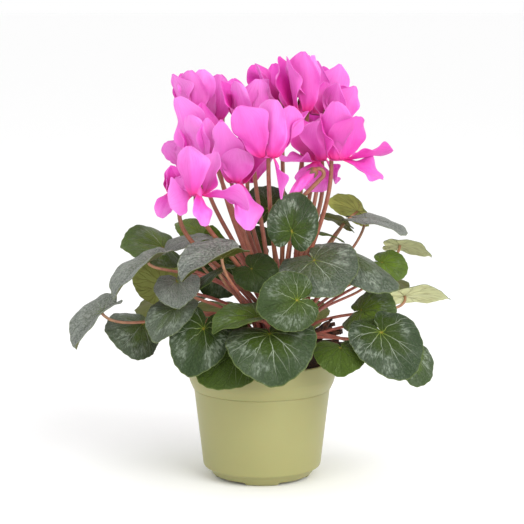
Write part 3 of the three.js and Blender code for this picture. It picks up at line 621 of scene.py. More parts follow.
def tube(route, radius, sides, reference):
    """A round skin along a route. At each point the ring lies across the direction of travel;
    its first spoke is that direction crossed with the reference. The ends close at a point."""
    heading = unit(np.gradient(route, axis=0))
    first = unit(np.cross(heading, reference))
    second = np.cross(heading, first)
    angle = circle(sides)[:, None]
    spokes = np.cos(angle) * first[:, None] + np.sin(angle) * second[:, None]
    rings = route[:, None] + np.broadcast_to(radius, len(route))[:, None, None] * spokes
    ends = np.broadcast_to(route[[0, -1], None], (2, sides, 3))
    return np.concatenate([ends[:1], rings, ends[1:]])


def along(count, sides):
    """The share of the way at each point of a tube, as its shape attribute."""
    share = np.concatenate([[0], np.linspace(0, 1, count), [1]])
    return np.repeat(joined(share, 0, 0), sides, axis=0)


print("middle of a route from 0 to 1:", bezier((0, 0, 1, 1), 3)[1, 0])

# %% Fibres, and the finished peat
FIBRES = 110
for i in range(FIBRES):
    start = random_spot(0.05, 0.86, 0.8)
    heading, length = draw.uniform(0, 2 * math.pi), draw.uniform(4, 14)
    step = np.array([math.cos(heading), math.sin(heading), draw.uniform(-0.1, 0.25)]) * length / 3
    end = start + 3 * step
    end[:2] *= min(1, (SOIL_EDGE - 1.5) / np.linalg.norm(end[:2]))
    bend = draw.normal(0, 1.0, (2, 3)) + [0, 0, 1]
    route = bezier((start, start + step + bend[0], end - step + bend[1], end), 6) * MM
    fibre = tube(route, draw.uniform(0.15, 0.4) * MM, 4, (0, 0, 1))
    soil_body.skin(fibre, tone=(draw.uniform(0.1, 0.9), 0, 0))
soil_body.build("peat_filling", [peat_finish], "soil", "peat")

# %% Tuber
TUBER_SIDES = 72
TUBER_PROFILE = [
    (0, SOIL_TOP - TUBER_DEPTH),
    (0.55 * TUBER_RADIUS, SOIL_TOP - TUBER_DEPTH + 2),
    (0.9 * TUBER_RADIUS, SOIL_TOP - TUBER_DEPTH / 2),
    (TUBER_RADIUS, SOIL_TOP),
    (0.9 * TUBER_RADIUS, TUBER_TOP - 6),
    (0.8 * TUBER_RADIUS, TUBER_TOP - 4),
    (0, TUBER_TOP - 4),
]
tuber_grid = turned(rounded(TUBER_PROFILE, 6, 8), TUBER_SIDES, centre=CROWN)
tuber_lumps = rough(tuber_grid[..., 0] + tuber_grid[..., 2], tuber_grid[..., 1], 0.012, 16, 3)
outward = (tuber_grid - CROWN) * (1, 1, 0)
tuber_body = Piece()
tuber_body.skin(tuber_grid + outward * tuber_lumps[..., None] * 0.04)
tuber_body.build("half_buried_tuber", [tuber_finish], "tuber", "tuber_skin")

# %% [markdown]
# ## Leaf blades
# A cyclamen blade is a heart. Drawn by hand, every one of the forty-two would be a mesh of its
# own; as a formula they share one shape, and each needs one row of a table. Seen from the point
# where the stalk meets it, the reach of the heart is a circle moved towards the tip, with a short
# point, and two lobes that round off beside the notch. The flat heart is then folded along its
# midrib, curled down at its sides, bent along its length, and waved at its edge.

# %% Table of the blades
BLADE_DROOP = 35
BLADE_FOLD = 10


def leaf(at, tip, face, tone=(0.3, 0.15, 0.5), **more):
    """A row of the table: where the stalk meets the blade, its tip, the way its upper face
    looks, and its tone: how silver it is, how bright its green is, how plain its veins are. wide
    is its width against that of a broad blade, fold lifts its left and right half and droop
    bends its midrib, in degrees. rise and enter are how far its stalk keeps to the way it sets
    off and to the way it arrives, as shares of its span."""
    shared = dict(wide=1, fold=(BLADE_FOLD, BLADE_FOLD), droop=BLADE_DROOP, rise=0.45, enter=0.25)
    return {**shared, **more, "at": at, "tip": tip, "face": face, "tone": tone}


LEAVES = [
    leaf((-81, 8, 187), (-114, -4, 189), (-0.05, -0.75, 1), (0.45, 0.7, 0.9), fold=(15, 5),
         rise=0.6),
    leaf((-90, -39, 182), (-115, -56, 155), (-1, -0.35, 0.5), (1, 0.1, 0.7), wide=0.68,
         fold=(20, 30), rise=0.6, enter=0.12),
    leaf((-128, -26, 139), (-148, -35, 111), (-1, -0.3, 0.5), (1, 0.1, 0.6), wide=0.75,
         fold=(20, 40)),
    leaf((-97, -9, 127), (-126, -22, 123), (-0.1, -0.8, 0.5), (0.84, 0.45, 0.9), wide=1.15,
         fold=(-10, -30)),
    leaf((-68, -45, 146), (-83, -68, 123), (-0.1, -0.7, 0.7), (0.86, 0.35, 1), wide=0.66,
         fold=(25, 10)),
    leaf((-67, -42, 167), (-65, -63, 149), (-0.1, -0.7, 0.7), (0.94, 0.1, 1), wide=0.85),
    leaf((-31, -71, 190), (-61, -86, 173), (-0.2, -0.25, 0.95), (0.95, 0, 0.3), wide=0.78,
         fold=(40, 40), rise=0.38),
    leaf((-53, 2, 196), (-79, -12, 184), (-0.3, -0.2, 1), (0.95, 0.1, 0.15), wide=0.7),
    leaf((-52, 32, 195), (-72, 37, 203), (-0.1, -0.3, 1), (0.1, 1, 0.5)),
    leaf((-82, 12, 156), (-100, 0, 175), (-0.3, 0.9, 0.25), (0.2, 0.3, 0.6), wide=0.85),
    leaf((-46, -54, 132), (-58, -77, 98), (0, -0.9, 0.4), (0.6, 0.12, 0.7), wide=0.7),
    leaf((-17, -56, 117), (-48, -72, 91), (-0.1, -0.9, 0.4), (0, 0.24, 0.8), wide=0.8),
    leaf((6, -68, 130), (12, -94, 94), (0, -0.85, 0.45), (0.7, 0.2, 1), wide=0.95, droop=70),
    leaf((27, -75, 158), (-4, -82, 152), (0, -1, 0.35), (0.48, 0.22, 0.8), wide=0.95, droop=25),
    leaf((-5, -60, 141), (-38, -72, 130), (-0.1, -0.1, 1), (0.5, 0.8, 0.5), wide=0.75,
         fold=(20, 35), rise=0.6, enter=0.1),
    leaf((-8, -41, 177), (10, -49, 162), (0, -0.9, 0.6), (0.1, 0.1, 0.2), wide=0.9),
    leaf((23, -60, 210), (28, -54, 239), (0, -1, 0.1), (0.76, 0.2, 0.7), wide=0.85, fold=(10, 20),
         rise=0.35),
    leaf((41, -43, 184), (58, -67, 160), (0, -0.6, 0.8), (0.85, 0.2, 0.9), wide=1.1, fold=(12, 0)),
    leaf((71, -24, 187), (107, -46, 161), (0.2, -0.8, 0.6), (0.85, 0.2, 0.8), wide=0.72,
         fold=(-40, 8)),
    leaf((98, 12, 174), (116, 4, 163), (0.2, -0.6, 0.7), (0.3, 1, 0.5), wide=1.05),
    leaf((114, 30, 186), (140, 24, 177), (0, 0.6, 1), (0.8, 1, 0.3), wide=0.62),
    leaf((116, -2, 149), (152, -8, 147), (0, 0.5, 1), (0.8, 0.9, 0.3), wide=0.8),
    leaf((80, -20, 140), (106, -36, 139), (-0.1, -0.8, 0.8), (0.7, 1, 0.8), wide=0.95, rise=0.3,
         enter=0.35),
    leaf((93, -62, 130), (112, -84, 97), (0.1, -0.7, 0.6), (0.79, 0.15, 0.9), wide=0.8, rise=0.3),
    leaf((117, -28, 108), (124, -42, 82), (0.5, -0.5, 0.5), (0.78, 0.5, 0.6)),
    leaf((61, -64, 118), (61, -82, 99), (0, -1, 0.5), (0, 0.37, 0.25), wide=1.02, droop=50),
    leaf((80, 48, 212), (56, 62, 217), (0.1, 1, 0.7), (0.1, 1, 0.3), wide=0.7),
    leaf((84, 9, 211), (117, 0, 198), (0.2, -0.1, 1), (0.95, 0, 0.15), wide=0.7),
    leaf((5, 42, 215), (0, 59, 232), (0, -0.8, 0.6)),
    leaf((-35, -34, 174), (-55, -44, 155), (-0.5, -0.1, 1), (0.1, 0.1, 0.2), wide=0.55),
    leaf((-33, 48, 172), (-47, 54, 140), (0, -0.8, 0.5)),
    leaf((6, 65, 168), (0, 92, 148), (0, 0.7, 0.8)),
    leaf((52, 66, 174), (68, 92, 156), (0.2, 0.6, 1)),
    leaf((92, 48, 158), (120, 62, 140), (0.5, 0.4, 1)),
    leaf((-72, 46, 138), (-98, 66, 116), (-0.5, 0.6, 0.8)),
    leaf((28, 66, 128), (32, 90, 100), (0.1, 0.9, 0.5)),
    leaf((-26, 60, 126), (-44, 82, 100), (-0.2, 0.8, 0.5)),
]
YOUNG_LEAVES = [
    leaf((-52, 22, 178), (-74, 26, 172), (-0.2, -0.2, 1), (0.1, 0.5, 0.3), wide=0.85),
    leaf((0, 44, 186), (-16, 50, 192), (0, -0.8, 0.6), (0.1, 0.1, 0.2)),
    leaf((68, 32, 204), (48, 36, 209), (0.1, 0.4, 1), (0.1, 0.2, 0.2)),
    leaf((58, 10, 196), (38, 6, 198), (0, 0, 1), (0.1, 0.5, 0.2), wide=0.55),
    leaf((-37, 27, 185), (-42, 21, 204), (-0.4, -1, 0.2), (0.1, 0.9, 0.3), wide=0.6),
]
print("leaves:", len(LEAVES), "and", len(YOUNG_LEAVES), "young ones")


# %% Outline and veins of a blade
VEIN_APART = math.radians(36)
VEIN_LEAN = 0.16


def outline(angle):
    """Reach of the heart at an angle from its tip, as a share of the reach to the tip."""
    turn = np.abs(angle)
    body = 0.76 + 0.18 * np.cos(angle) + 0.06 * np.exp(-((angle / 0.28) ** 2))
    lobe = np.clip((turn - math.radians(135)) / math.radians(37), 0, 1)
    return body * (1 - 0.5 * lobe**2)


def vein_count(x, y):
    """How many main veins lie between the midrib and a point: whole numbers on a vein. The
    veins leave the stalk evenly spaced and lean towards the tip on their way out."""
    away = np.hypot(x, y)
    return np.arctan2(np.abs(y), x) / (VEIN_APART * (1 - VEIN_LEAN * away))


print("reach at the side:", round(float(outline(math.pi / 2)), 2), "of the reach to the tip")


# %% Shape of a blade
SINUS_HALF_ANGLE = 4
EDGE_CURL = -20
WAVES = 5
WAVE_SHARE = 0.03


def blade_frame(row):
    """Where a blade starts, its length, its droop, and its three directions: lead, across and
    normal. A midrib of this droop is an arc whose ends are the stalk's point and the tip."""
    base, tip = np.array(row["at"]) * MM, np.array(row["tip"]) * MM
    chord = tip - base
    droop = math.radians(row["droop"])
    ahead = unit(chord)
    across = unit(np.cross(row["face"], ahead))
    up = np.cross(ahead, across)
    half = droop / 2
    length = np.linalg.norm(chord) * half / math.sin(half)
    lead = ahead * math.cos(half) + up * math.sin(half)
    normal = up * math.cos(half) - ahead * math.sin(half)
    return base, length, droop, np.stack([lead, across, normal])


def blade_grid(row, rays, rings, seed):
    """The points of a blade, ray by ray, and its flat outline as the shape attribute. Reach out
    from the stalk at an angle; fold and curl: an arc that starts at the fold's angle and bends
    at a steady rate; droop: an arc along the midrib; and lift for waves, notched edge and the
    soft quilting between veins."""
    base, length, droop, axes = blade_frame(row)
    limit = math.radians(180 - SINUS_HALF_ANGLE)
    angle = np.linspace(-limit, limit, rays)[:, None]
    share = np.linspace(0, 1, rings)[None, :] ** 0.85
    wide = row["wide"]
    phase = seed * 2.4
    notches = 0.008 * np.cos(26 * angle + phase) + 0.01 * np.cos(9 * angle + 2 * phase)
    flat = outline(angle) * share * (1 + notches * share**6)
    x, y = flat * np.cos(angle), flat * np.sin(angle)
    ahead, aside = x * length, y * length * wide
    left, right = row["fold"]
    start = np.radians(np.where(aside > 0, left, right))
    rate = math.radians(EDGE_CURL) / (0.76 * length * wide)
    end = start + rate * np.abs(aside)
    spread = (np.sin(end) - np.sin(start)) / rate
    rise = (np.cos(start) - np.cos(end)) / rate
    ripple = WAVE_SHARE * np.sin(WAVES * angle) * share**3
    frill = 0.012 * np.sin(11 * angle + phase) * share**5
    quilt = 0.008 * np.abs(np.sin(np.pi * vein_count(x, y))) * share * (1 - share**8)
    lift = rise + length * (ripple + frill + quilt)
    turn, radius = droop * ahead / length, length / droop
    height = radius * (np.cos(turn) - 1) + lift * np.cos(turn)
    local = joined((radius + lift) * np.sin(turn), np.sign(aside) * spread, height)
    return local @ axes + base, joined(x, y, share)


print("first blade:", round(blade_frame(LEAVES[0])[1] / MM), "mm along its midrib")


# %% [markdown]
# ## Finish of the leaves
# The upper face is dark green with silver-grey marbling in a broad band between centre and edge,
# and pale veins that fork on their way out. The marks follow the blade, so the finish reads the
# flat outline from `shape` and repeats the vein formula with shader nodes. A painted picture
# would need one per blade; here the three numbers of `tone` tell the blades apart.

# %% Veins
def vein_fields(finish):
    """The flat place on the blade, the distance from the stalk, the share of the reach, and how
    much a point lies on a vein: on a main one, or on one of the forks that leave it. The veins
    wander a little, because the formula is read at a place that a slow noise has shifted."""
    x, y, share = finish.attribute("shape")
    tone = finish.attribute("tone")[0]
    sway = finish.noise(finish.vector(x, y, tone * 8.0), 3.0, 2.0) - 0.5
    u, v = x + sway * 0.15, y + sway * 0.12
    away = (u * u + v * v).math("SQRT")
    lean = away * (-VEIN_LEAN * VEIN_APART) + VEIN_APART
    count = abs(v).math("ARCTAN2", u) / lean + 0.5
    beside = abs(count.math("FRACT") - 0.5) * lean * away
    main = beside.ramp(away * -0.01 + 0.019, 0.002) * away.ramp(1.0, 0.7)
    fork = abs(beside - (away - 0.36) * 0.45).ramp(0.011, 0.001) * away.ramp(0.36, 0.4)
    twig = abs(beside - (away - 0.62) * 0.36).ramp(0.009, 0.001) * away.ramp(0.62, 0.66)
    branches = (fork * 0.7).math("MAXIMUM", twig * 0.5) * away.ramp(0.98, 0.75)
    return x, y, away, share, main.math("MAXIMUM", branches)


print("main veins beside the midrib:", 2 * round(math.pi / VEIN_APART - 1))


# %% Upper face
def upper_face():
    """From below: green, a duller silver-green zone outside the centre, streaks of pale marbling
    in it, a grey bloom on the most silver blades, specks, a fine net, veins and a paler rim."""
    finish = Finish("leaf_upper", Roughness=0.38, Specular_IOR_Level=0.14)
    mix, noise, vector = finish.mix, finish.noise, finish.vector
    x, y, away, share, veins = vein_fields(finish)
    silver, bright, plain = finish.attribute("tone")
    moved = silver * 9.0 + bright * 7.0 + plain * 5.0
    where = vector(x + moved, y, moved)
    cloud = noise(where, 3.0, 3.0) - 0.5
    bearing = y.math("ARCTAN2", x)
    feather = noise(vector(bearing * 9.0 + moved, away * 2.5, moved), 1.6, 4.0) - 0.5
    hairs = noise(vector(bearing * 11.0 + moved, away * 9.0, moved), 1.0, 5.0)
    spread = noise(vector(bearing * 1.2 + moved, moved, 2.0), 1.0, 1.0).ramp(0.4, 0.56)
    drift = noise(vector(x + moved, y + 3.0, moved), 2.4, 2.0)
    speckle = noise(where, 26.0, 4.0)
    net = finish.cells(where, 13.0).ramp(0.08, 0.0)
    zone = (away + feather * 0.25 + cloud * 0.8).ramp(0.28, 0.66) * silver
    inner = (away + feather * 0.5 + cloud * 0.7).ramp(0.42, 0.52)
    outer = (away + feather * 0.9 + cloud * 0.7).ramp(0.88, 0.68)
    pale = inner * outer * drift.ramp(0.46, 0.6) * hairs.ramp(0.42, 0.6) * silver
    whole = silver.ramp(0.78, 1.0) * (speckle.ramp(0.38, 0.6) * 0.5 + 0.34)
    dull = mix(drift.ramp(0.35, 0.65), rgb(46, 62, 46), rgb(70, 80, 70))
    silvered = away.ramp(0.05, 0.35) * (silver * 0.6 + 0.4)
    vein_colour = mix(silvered, rgb(120, 140, 44), rgb(166, 176, 160))
    green = finish.layers(
        mix(bright, rgb(26, 42, 12), rgb(104, 130, 42)),
        (cloud.ramp(-0.2, 0.25) * 0.3, rgb(58, 74, 26)),
        (zone * 0.85, dull),
        (pale * 0.75, rgb(148, 160, 142)),
        (whole, rgb(150, 152, 148)),
        (speckle.ramp(0.45, 0.7) * (silver * 0.14 + 0.03), rgb(120, 134, 100)),
        (net * (silver * 0.12 + 0.04), rgb(100, 122, 74)),
        (veins * plain * away.ramp(1.1, 0.3) * (spread * 0.85 + 0.15), vein_colour),
        (away.ramp(0.05, 0.01) * 0.7, rgb(150, 130, 50)),
        (share.ramp(0.97, 0.995) * 0.45, rgb(112, 126, 66)),
    )
    finish.colour(green)
    finish.bump(veins * -0.8 + net * -0.35 + speckle * 0.3, 0.001, 0.9)
    return finish


leaf_upper = upper_face()


# %% Under face
def under_face():
    """Olive to pale yellow-green by tone, stained with brown, with paler veins that stand out."""
    finish = Finish("leaf_under", Roughness=0.55, Specular_IOR_Level=0.15)
    x, y, away, share, veins = vein_fields(finish)
    silver, bright, plain = finish.attribute("tone")
    stain = finish.noise(finish.vector(x, y, silver * 5.0), 3.0, 3.0)
    light = finish.mix(silver, rgb(208, 220, 112), rgb(220, 220, 178))
    olive = finish.mix(bright, rgb(66, 70, 18), light)
    stained = (stain.ramp(0.4, 0.75) * 0.25, rgb(112, 84, 44))
    finish.colour(finish.layers(olive, stained, (veins * 0.5, rgb(156, 156, 92))))
    finish.bump(veins, 0.0012, 0.8)
    return finish


leaf_under = under_face()

# %% Blades
RAYS, RINGS = 128, 24


def add_blade(piece, row, rays, rings, seed, kinds):
    """A blade as a sheet, which from the stalk to the edge thins to less than half."""
    points, shape = blade_grid(row, rays, rings, seed)
    thickness = (0.75 - 0.4 * np.linspace(0, 1, rings) ** 2) * MM
    piece.sheet(points, thickness, shape, row["tone"], kinds=kinds)


for number, row in enumerate(LEAVES):
    blade, label = Piece(), f"{number + 1:02d}"
    add_blade(blade, row, RAYS, RINGS, number, (0, 1))
    blade.build("blade_" + label, [leaf_upper, leaf_under], "leaf_" + label, "leaf_blade")

# %% [markdown]
# ## Stalks
# Every leaf stalk and flower stalk grows out of the crown, a low ring and a disc on top of the
# tuber. A stalk starts straight up, leans outwards, and comes in square to its blade. A flower
# stalk passes its flower's mouth and hooks over, so that the flower hangs from it with its petals
# turned back. A Blender curve with a round bevel would do as well, but a circle carried along a
# cubic curve can also note how far along it is, and the colour changes on the way.

# %% Table of the blooms
# Finishes of a bloom: outer faces, the tube, and inner faces with painted shade.
OUTSIDE, TUBE, INSIDE = 0, 1, 2
PETAL_TURN = 28


def bloom(at, lean, stem, long, wide, flare, painted_shade=0, inside=INSIDE, **more):
    """A row of the table: the mouth, the lean of the axis, the bearing of the stalk, the petals'
    length and width, and the flare from the axis of each of the five petals, in order round from
    the stalk. bend is what adds to the flare towards the tip, turn goes about a petal's own
    middle line, scale is its share of the length, and swing moves it from its even place round
    the mouth. The shade number is painted shade that deepens the pink of a bloom, and below 0 it
    is painted light that makes it paler. inside is the finish of the petals' inner faces: INSIDE
    gives them darker pinks as painted shade, OUTSIDE the finish of the outer faces."""
    shared = dict(bend=(0,) * 5, turn=(PETAL_TURN,) * 5, scale=(1,) * 5, swing=(0,) * 5)
    given = dict(at=at, lean=lean, stem=stem, long=long, wide=wide, flare=flare, painted_shade=painted_shade)
    return {**shared, "rise": 0.4, "enter": 0.3, "inside": inside, **given, **more}


# A row's shade number is painted shade on a bloom, and below 0 it is painted light.
BLOOMS = [
    bloom((-53, 25, 292), (-0.1, 0.1), stem=0, long=40, wide=21, painted_shade=0.25,
          flare=(8, 8, 12, 6, 6), turn=(28, 28, -15, 10, 28), swing=(6, 0, 12, 14, -3)),
    bloom((-40, 56, 284), (0, 0.1), stem=-20, long=44, wide=22, flare=(20, 12, 10, 8, 12),
          turn=(28, 28, 0, 10, 20)),
    bloom((-12, 10, 285), (0, 0), stem=60, long=42, wide=24, painted_shade=0.1, flare=(12, 18, 18, 10, 12),
          swing=(4, 0, 0, 0, -6)),
    bloom((16, 68, 292), (-0.05, 0.1), stem=-90, long=48, wide=25, painted_shade=0.6,
          flare=(12, 20, 14, 18, 20), swing=(4, 0, 0, 0, -6)),
    bloom((33, 0, 298), (-0.06, 0), stem=100, long=51, wide=22, painted_shade=0.5, flare=(9, 9, 5, 3, 4),
          scale=(0.95, 0.95, 1, 0.92, 0.92)),
    bloom((45, 50, 293), (0.1, 0.15), stem=200, long=46, wide=25, painted_shade=0.5,
          flare=(15, 15, 18, 15, 15)),
    bloom((57, 14, 286), (0.16, 0.1), stem=190, long=37, wide=22, painted_shade=0.45,
          flare=(14, 15, 12, 14, 10), swing=(4, 0, 0, 0, -6)),
    bloom((-41, -10, 255), (-0.12, 0.1), stem=20, long=48, wide=26, painted_shade=-0.3,
          flare=(5, 12, 11, 12, 6), turn=(-20, 28, -65, 10, -40), scale=(1.15, 1, 1.3, 0.95, 0.85),
          swing=(21, 0, -30, -40, -46)),
    bloom((-20, -40, 245), (0.06, 0.1), stem=83, long=50, wide=23, painted_shade=-0.4,
          flare=(10, 10, 14, 160, 12), turn=(0, -50, 10, 12, -50),
          scale=(1.05, 1, 0.58, 0.8, 0.95), swing=(-8, 0, 0, -30, -24)),
    bloom((5, -62, 267), (0, 0.05), stem=90, long=48, wide=25, painted_shade=0.6,
          flare=(168, 28, 7, 16, 38), turn=(50, -42, 42, 50, 12), scale=(0.7, 1, 0.98, 0.9, 1),
          swing=(163, 6, 7, 6, -8)),
    bloom((47, -14, 260), (-0.1, 0.1), stem=83, long=42, wide=25, painted_shade=0.6,
          flare=(15, 84, 12, 165, 168), turn=(28, 12, 10, 28, 30), scale=(1, 0.75, 0.8, 0.5, 0.62),
          swing=(5, 0, 0, 0, -160)),
    bloom((58, -50, 264), (0, 0), stem=120, long=48, wide=25, painted_shade=1.2,
          flare=(10, 3, 23, 116, 83), turn=(28, 10, 22, -15, 20), scale=(0.8, 1, 0.84, 0.74, 0.9),
          swing=(14, 13, 5, -12, -50)),
    bloom((-50, -68, 238), (0, 0.1), stem=100, long=40, wide=23, painted_shade=0.15, inside=OUTSIDE,
          enter=0.15, flare=(112, 6, 165, 90, 20), bend=(0, 0, 0, 48, 0),
          turn=(75, 0, 40, 28, -10), scale=(0.5, 1, 0.62, 0.98, 0.95), swing=(0, 18, 6, 0, -16)),
    bloom((-70, -34, 236), (0.3, 0), stem=0, long=22, wide=12, flare=(20, 15, 5, 160, 20)),
    bloom((-57, 28, 250), (-0.18, 0.1), stem=0, long=29, wide=21, flare=(22, 22, 22, 14, 22),
          turn=(28, 28, -60, 10, 28), swing=(5, 0, 0, 0, -8)),
    bloom((-12, 32, 238), (0, 0.1), stem=-90, long=46, wide=22, painted_shade=0.8,
          flare=(18, 18, 15, 20, 18)),
    bloom((47, 70, 258), (-0.05, 0.05), stem=-90, long=46, wide=26, painted_shade=0.8,
          flare=(15, 20, 15, 20, 15), swing=(4, 0, 0, 0, -6)),
]
BUD = dict(at=(34, -52, 249), lean=(1, 0), stem=0, long=20, rise=0.5, enter=0.3)
print("blooms:", len(BLOOMS), "and a bud")

# %% Feet round the crown
LEAF_CIRCLES = (15.3, 18.6)
LEAF_CROWN_TURN = -197
FLOWER_CIRCLES = (10.2, 4.4, 10.2)
FLOWER_CROWN_TURN = -160
UP = np.array([0, 0, 1.0])


def feet(rows, circles, turn):
    """Where each stalk starts: the rows, in order of their bearing from the crown, stand evenly
    spaced round it, on its circles by turns."""
    order = sorted(rows, key=lambda row: math.atan2(row["at"][1] - CROWN_Y, row["at"][0] - CROWN_X))
    places = {}
    for i, row in enumerate(order):
        angle = math.radians(turn + 360 * i / len(order))
        radius = circles[i % len(circles)]
        x, y = CROWN_X + radius * math.cos(angle), CROWN_Y + radius * math.sin(angle)
        places[row["at"]] = np.array([x, y, TUBER_TOP - 2]) * MM
    return places


def stalk_route(row, foot, end, arrival, count):
    """A cubic curve that leaves its foot straight up and comes into its end along arrival."""
    span = np.linalg.norm(end - foot)
    leave = foot + UP * row["rise"] * span
    enter = end - arrival * row["enter"] * span
    return bezier((foot, leave, enter, end), count)


LEAF_FEET = feet(LEAVES + YOUNG_LEAVES, LEAF_CIRCLES, LEAF_CROWN_TURN)
FLOWER_FEET = feet(BLOOMS + [BUD], FLOWER_CIRCLES, FLOWER_CROWN_TURN)
print("feet:", len(LEAF_FEET), "of leaf stalks,", len(FLOWER_FEET), "of flower stalks")


# %% Stalk finishes
def stalk_finish(name, low, middle, high):
    """Dark red where a stalk leaves the crown, paler and browner higher up."""
    finish = Finish(name, Roughness=0.42, Subsurface_Weight=0.1, Subsurface_Scale=0.002)
    share = finish.attribute("shape")[0]
    tone = finish.attribute("tone")[0]
    streak = finish.noise(finish.place(), 300.0, 2.0)
    skin = finish.layers(
        low,
        (share.ramp(0.02, 0.4), middle),
        (share.ramp(0.5, 1.0), high),
        (tone * 0.25, rgb(120, 104, 62)),
        (streak.ramp(0.35, 0.75) * 0.35, rgb(96, 40, 34)),
    )
    finish.colour(skin)
    finish.bump(streak, 0.0002, 0.4)
    return finish


LEAF_STALK_COLOURS = rgb(110, 34, 34), rgb(182, 102, 90), rgb(176, 130, 96)
FLOWER_STALK_COLOURS = rgb(92, 26, 28), rgb(158, 92, 72), rgb(152, 98, 74)
leaf_stalk_finish = stalk_finish("leaf_stalk_skin", *LEAF_STALK_COLOURS)
flower_stalk_finish = stalk_finish("flower_stalk_skin", *FLOWER_STALK_COLOURS)

# %% Crown ring and leaf stalks
LEAF_STALK_RADIUS = 1.3
LEAF_STALK_ROWS = 36
STALK_SIDES = 8
CROWN_SIDES = 48
LEAF_CROWN_INNER = 13.5
LEAF_CROWN_OUTER = 19.5
RING_PROFILE = [
    (LEAF_CROWN_INNER, TUBER_TOP - 4 + GAP),
    (LEAF_CROWN_OUTER, TUBER_TOP - 4 + GAP),
    (LEAF_CROWN_OUTER, TUBER_TOP - 1),
    (LEAF_CROWN_INNER, TUBER_TOP),
    (LEAF_CROWN_INNER, TUBER_TOP - 4 + GAP),
]
leaf_growth = Piece()
leaf_growth.skin(turned(RING_PROFILE, CROWN_SIDES, centre=CROWN))


def leaf_stalk(row, number, gap):
    """A stalk from its foot to the back of its blade, a little thicker at both ends."""
    base, length, droop, axes = blade_frame(row)
    foot = LEAF_FEET[row["at"]]
    end = base - axes[2] * gap
    route = stalk_route(row, foot, end, axes[2], LEAF_STALK_ROWS)
    share = np.linspace(0, 1, LEAF_STALK_ROWS)
    radius = LEAF_STALK_RADIUS * (1.12 - 0.3 * share + 0.14 * share**8) * MM
    skin = tube(route, radius, STALK_SIDES, unit(np.cross(UP, end - foot)))
    shape = along(LEAF_STALK_ROWS, STALK_SIDES)
    leaf_growth.skin(skin, shape, (number * 0.37 % 1, 0, 0))


for number, row in enumerate(LEAVES):
    leaf_stalk(row, number, 0.3 * MM)
print("leaf stalks:", len(LEAVES))

# %% Dead stalks, and the young leaves that are one with theirs
STUBS = [
    ((26, -8, 107), (66, -22, 113), 2.2),
    ((28, -2, 109), (64, -12, 121), 2.3),
    ((30, 4, 109), (66, 2, 119), 2.3),
    ((26, 6, 110), (60, 8, 124), 2.0),
    ((30, -12, 106), (60, -32, 110), 1.9),
    ((34, -5, 110), (54, -8, 128), 1.8),
    ((46, -8, 112), (57, -10, 131), 1.2),
    ((36, -6, 108), (62, -18, 114), 2.6),
    ((30, 10, 108), (58, 22, 118), 2.0),
    ((2, -17, 106), (-8, -34, 104), 1.4),
]
STUB_ROWS = 14
YOUNG_RAYS, YOUNG_RINGS, YOUNG_SEED = 80, 14, 50
for start, end, thick in STUBS:
    bent = (start, np.add(start, (4, 0, 3)), np.subtract(end, (4, 0, 0)), end)
    radius = thick * MM * (1.1 - 0.25 * np.linspace(0, 1, STUB_ROWS))
    skin = tube(bezier(bent, STUB_ROWS) * MM, radius, STALK_SIDES, (0, 1, 0))
    leaf_growth.skin(skin, kind=3)
for number, row in enumerate(YOUNG_LEAVES):
    leaf_stalk(row, number + len(LEAVES), 0.0)
    add_blade(leaf_growth, row, YOUNG_RAYS, YOUNG_RINGS, number + YOUNG_SEED, (1, 2))
finishes = [leaf_stalk_finish, leaf_upper, leaf_under, stub_finish]
leaf_growth.build("leaf_stalks_and_young_leaves", finishes, "leaf_stalks", "leaf_stalk")

# %% Flower stalks
FLOWER_STALK_RADIUS = 1.55
FLOWER_CROWN_RADIUS = 12.5
NECK_BELOW = 5
CALYX_HEIGHT = 2.6
MOUTH_RADIUS = 4.4
TUBE_RADIUS = 4.9
TUBE_LENGTH = 9
HOOK_OFFSET = 7.8
SHAFT_ROWS, HOOK_ROWS = 40, 14
DISC_PROFILE = [
    (0, TUBER_TOP - 4 + GAP),
    (FLOWER_CROWN_RADIUS, TUBER_TOP - 4 + GAP),
    (FLOWER_CROWN_RADIUS - 1, TUBER_TOP),
    (0, TUBER_TOP + 2),
]
flower_growth = Piece()
flower_growth.skin(turned(rounded(DISC_PROFILE, 1.0), CROWN_SIDES, centre=CROWN))


def bloom_frame(row):
    """A bloom's mouth and its three directions: towards the side where its stalk passes, the
    third direction, and the axis that its turned-back petals follow."""
    mouth = np.array(row["at"]) * MM
    axis = unit(np.array([row["lean"][0], row["lean"][1], 1.0]))
    bearing = math.radians(row["stem"])
    side = np.array([math.cos(bearing), math.sin(bearing), 0])
    side = unit(side - side @ axis * axis)
    return mouth, np.stack([side, np.cross(axis, side), axis])


def flower_stalk(row, number):
    """From the crown up past the mouth, then half a circle over the tube and down onto it."""
    mouth, axes = bloom_frame(row)
    side, third, axis = axes
    neck = mouth + (side * HOOK_OFFSET - axis * NECK_BELOW) * MM
    top = neck + axis * (NECK_BELOW + TUBE_LENGTH + GAP + CALYX_HEIGHT / 3) * MM
    centre = top - side * HOOK_OFFSET / 2 * MM
    shaft = stalk_route(row, FLOWER_FEET[row["at"]], neck, axis, SHAFT_ROWS)
    angle = np.linspace(0, np.pi, HOOK_ROWS)[:, None]
    hook = centre + HOOK_OFFSET / 2 * MM * (side * np.cos(angle) + axis * np.sin(angle))
    route = np.concatenate([shaft[:-1], hook])
    radius = FLOWER_STALK_RADIUS * (1.3 - 0.3 * np.linspace(0, 1, len(route))) * MM
    skin = tube(route, radius, STALK_SIDES, third)
    flower_growth.skin(skin, along(len(route), STALK_SIDES), (number * 0.29 % 1, 0, 0))
    seat = mouth + axis * (TUBE_LENGTH + GAP) * MM
    flower_growth.sheet(*calyx(seat, axes), (0, 0, 0), around=True, kinds=(1, 1))


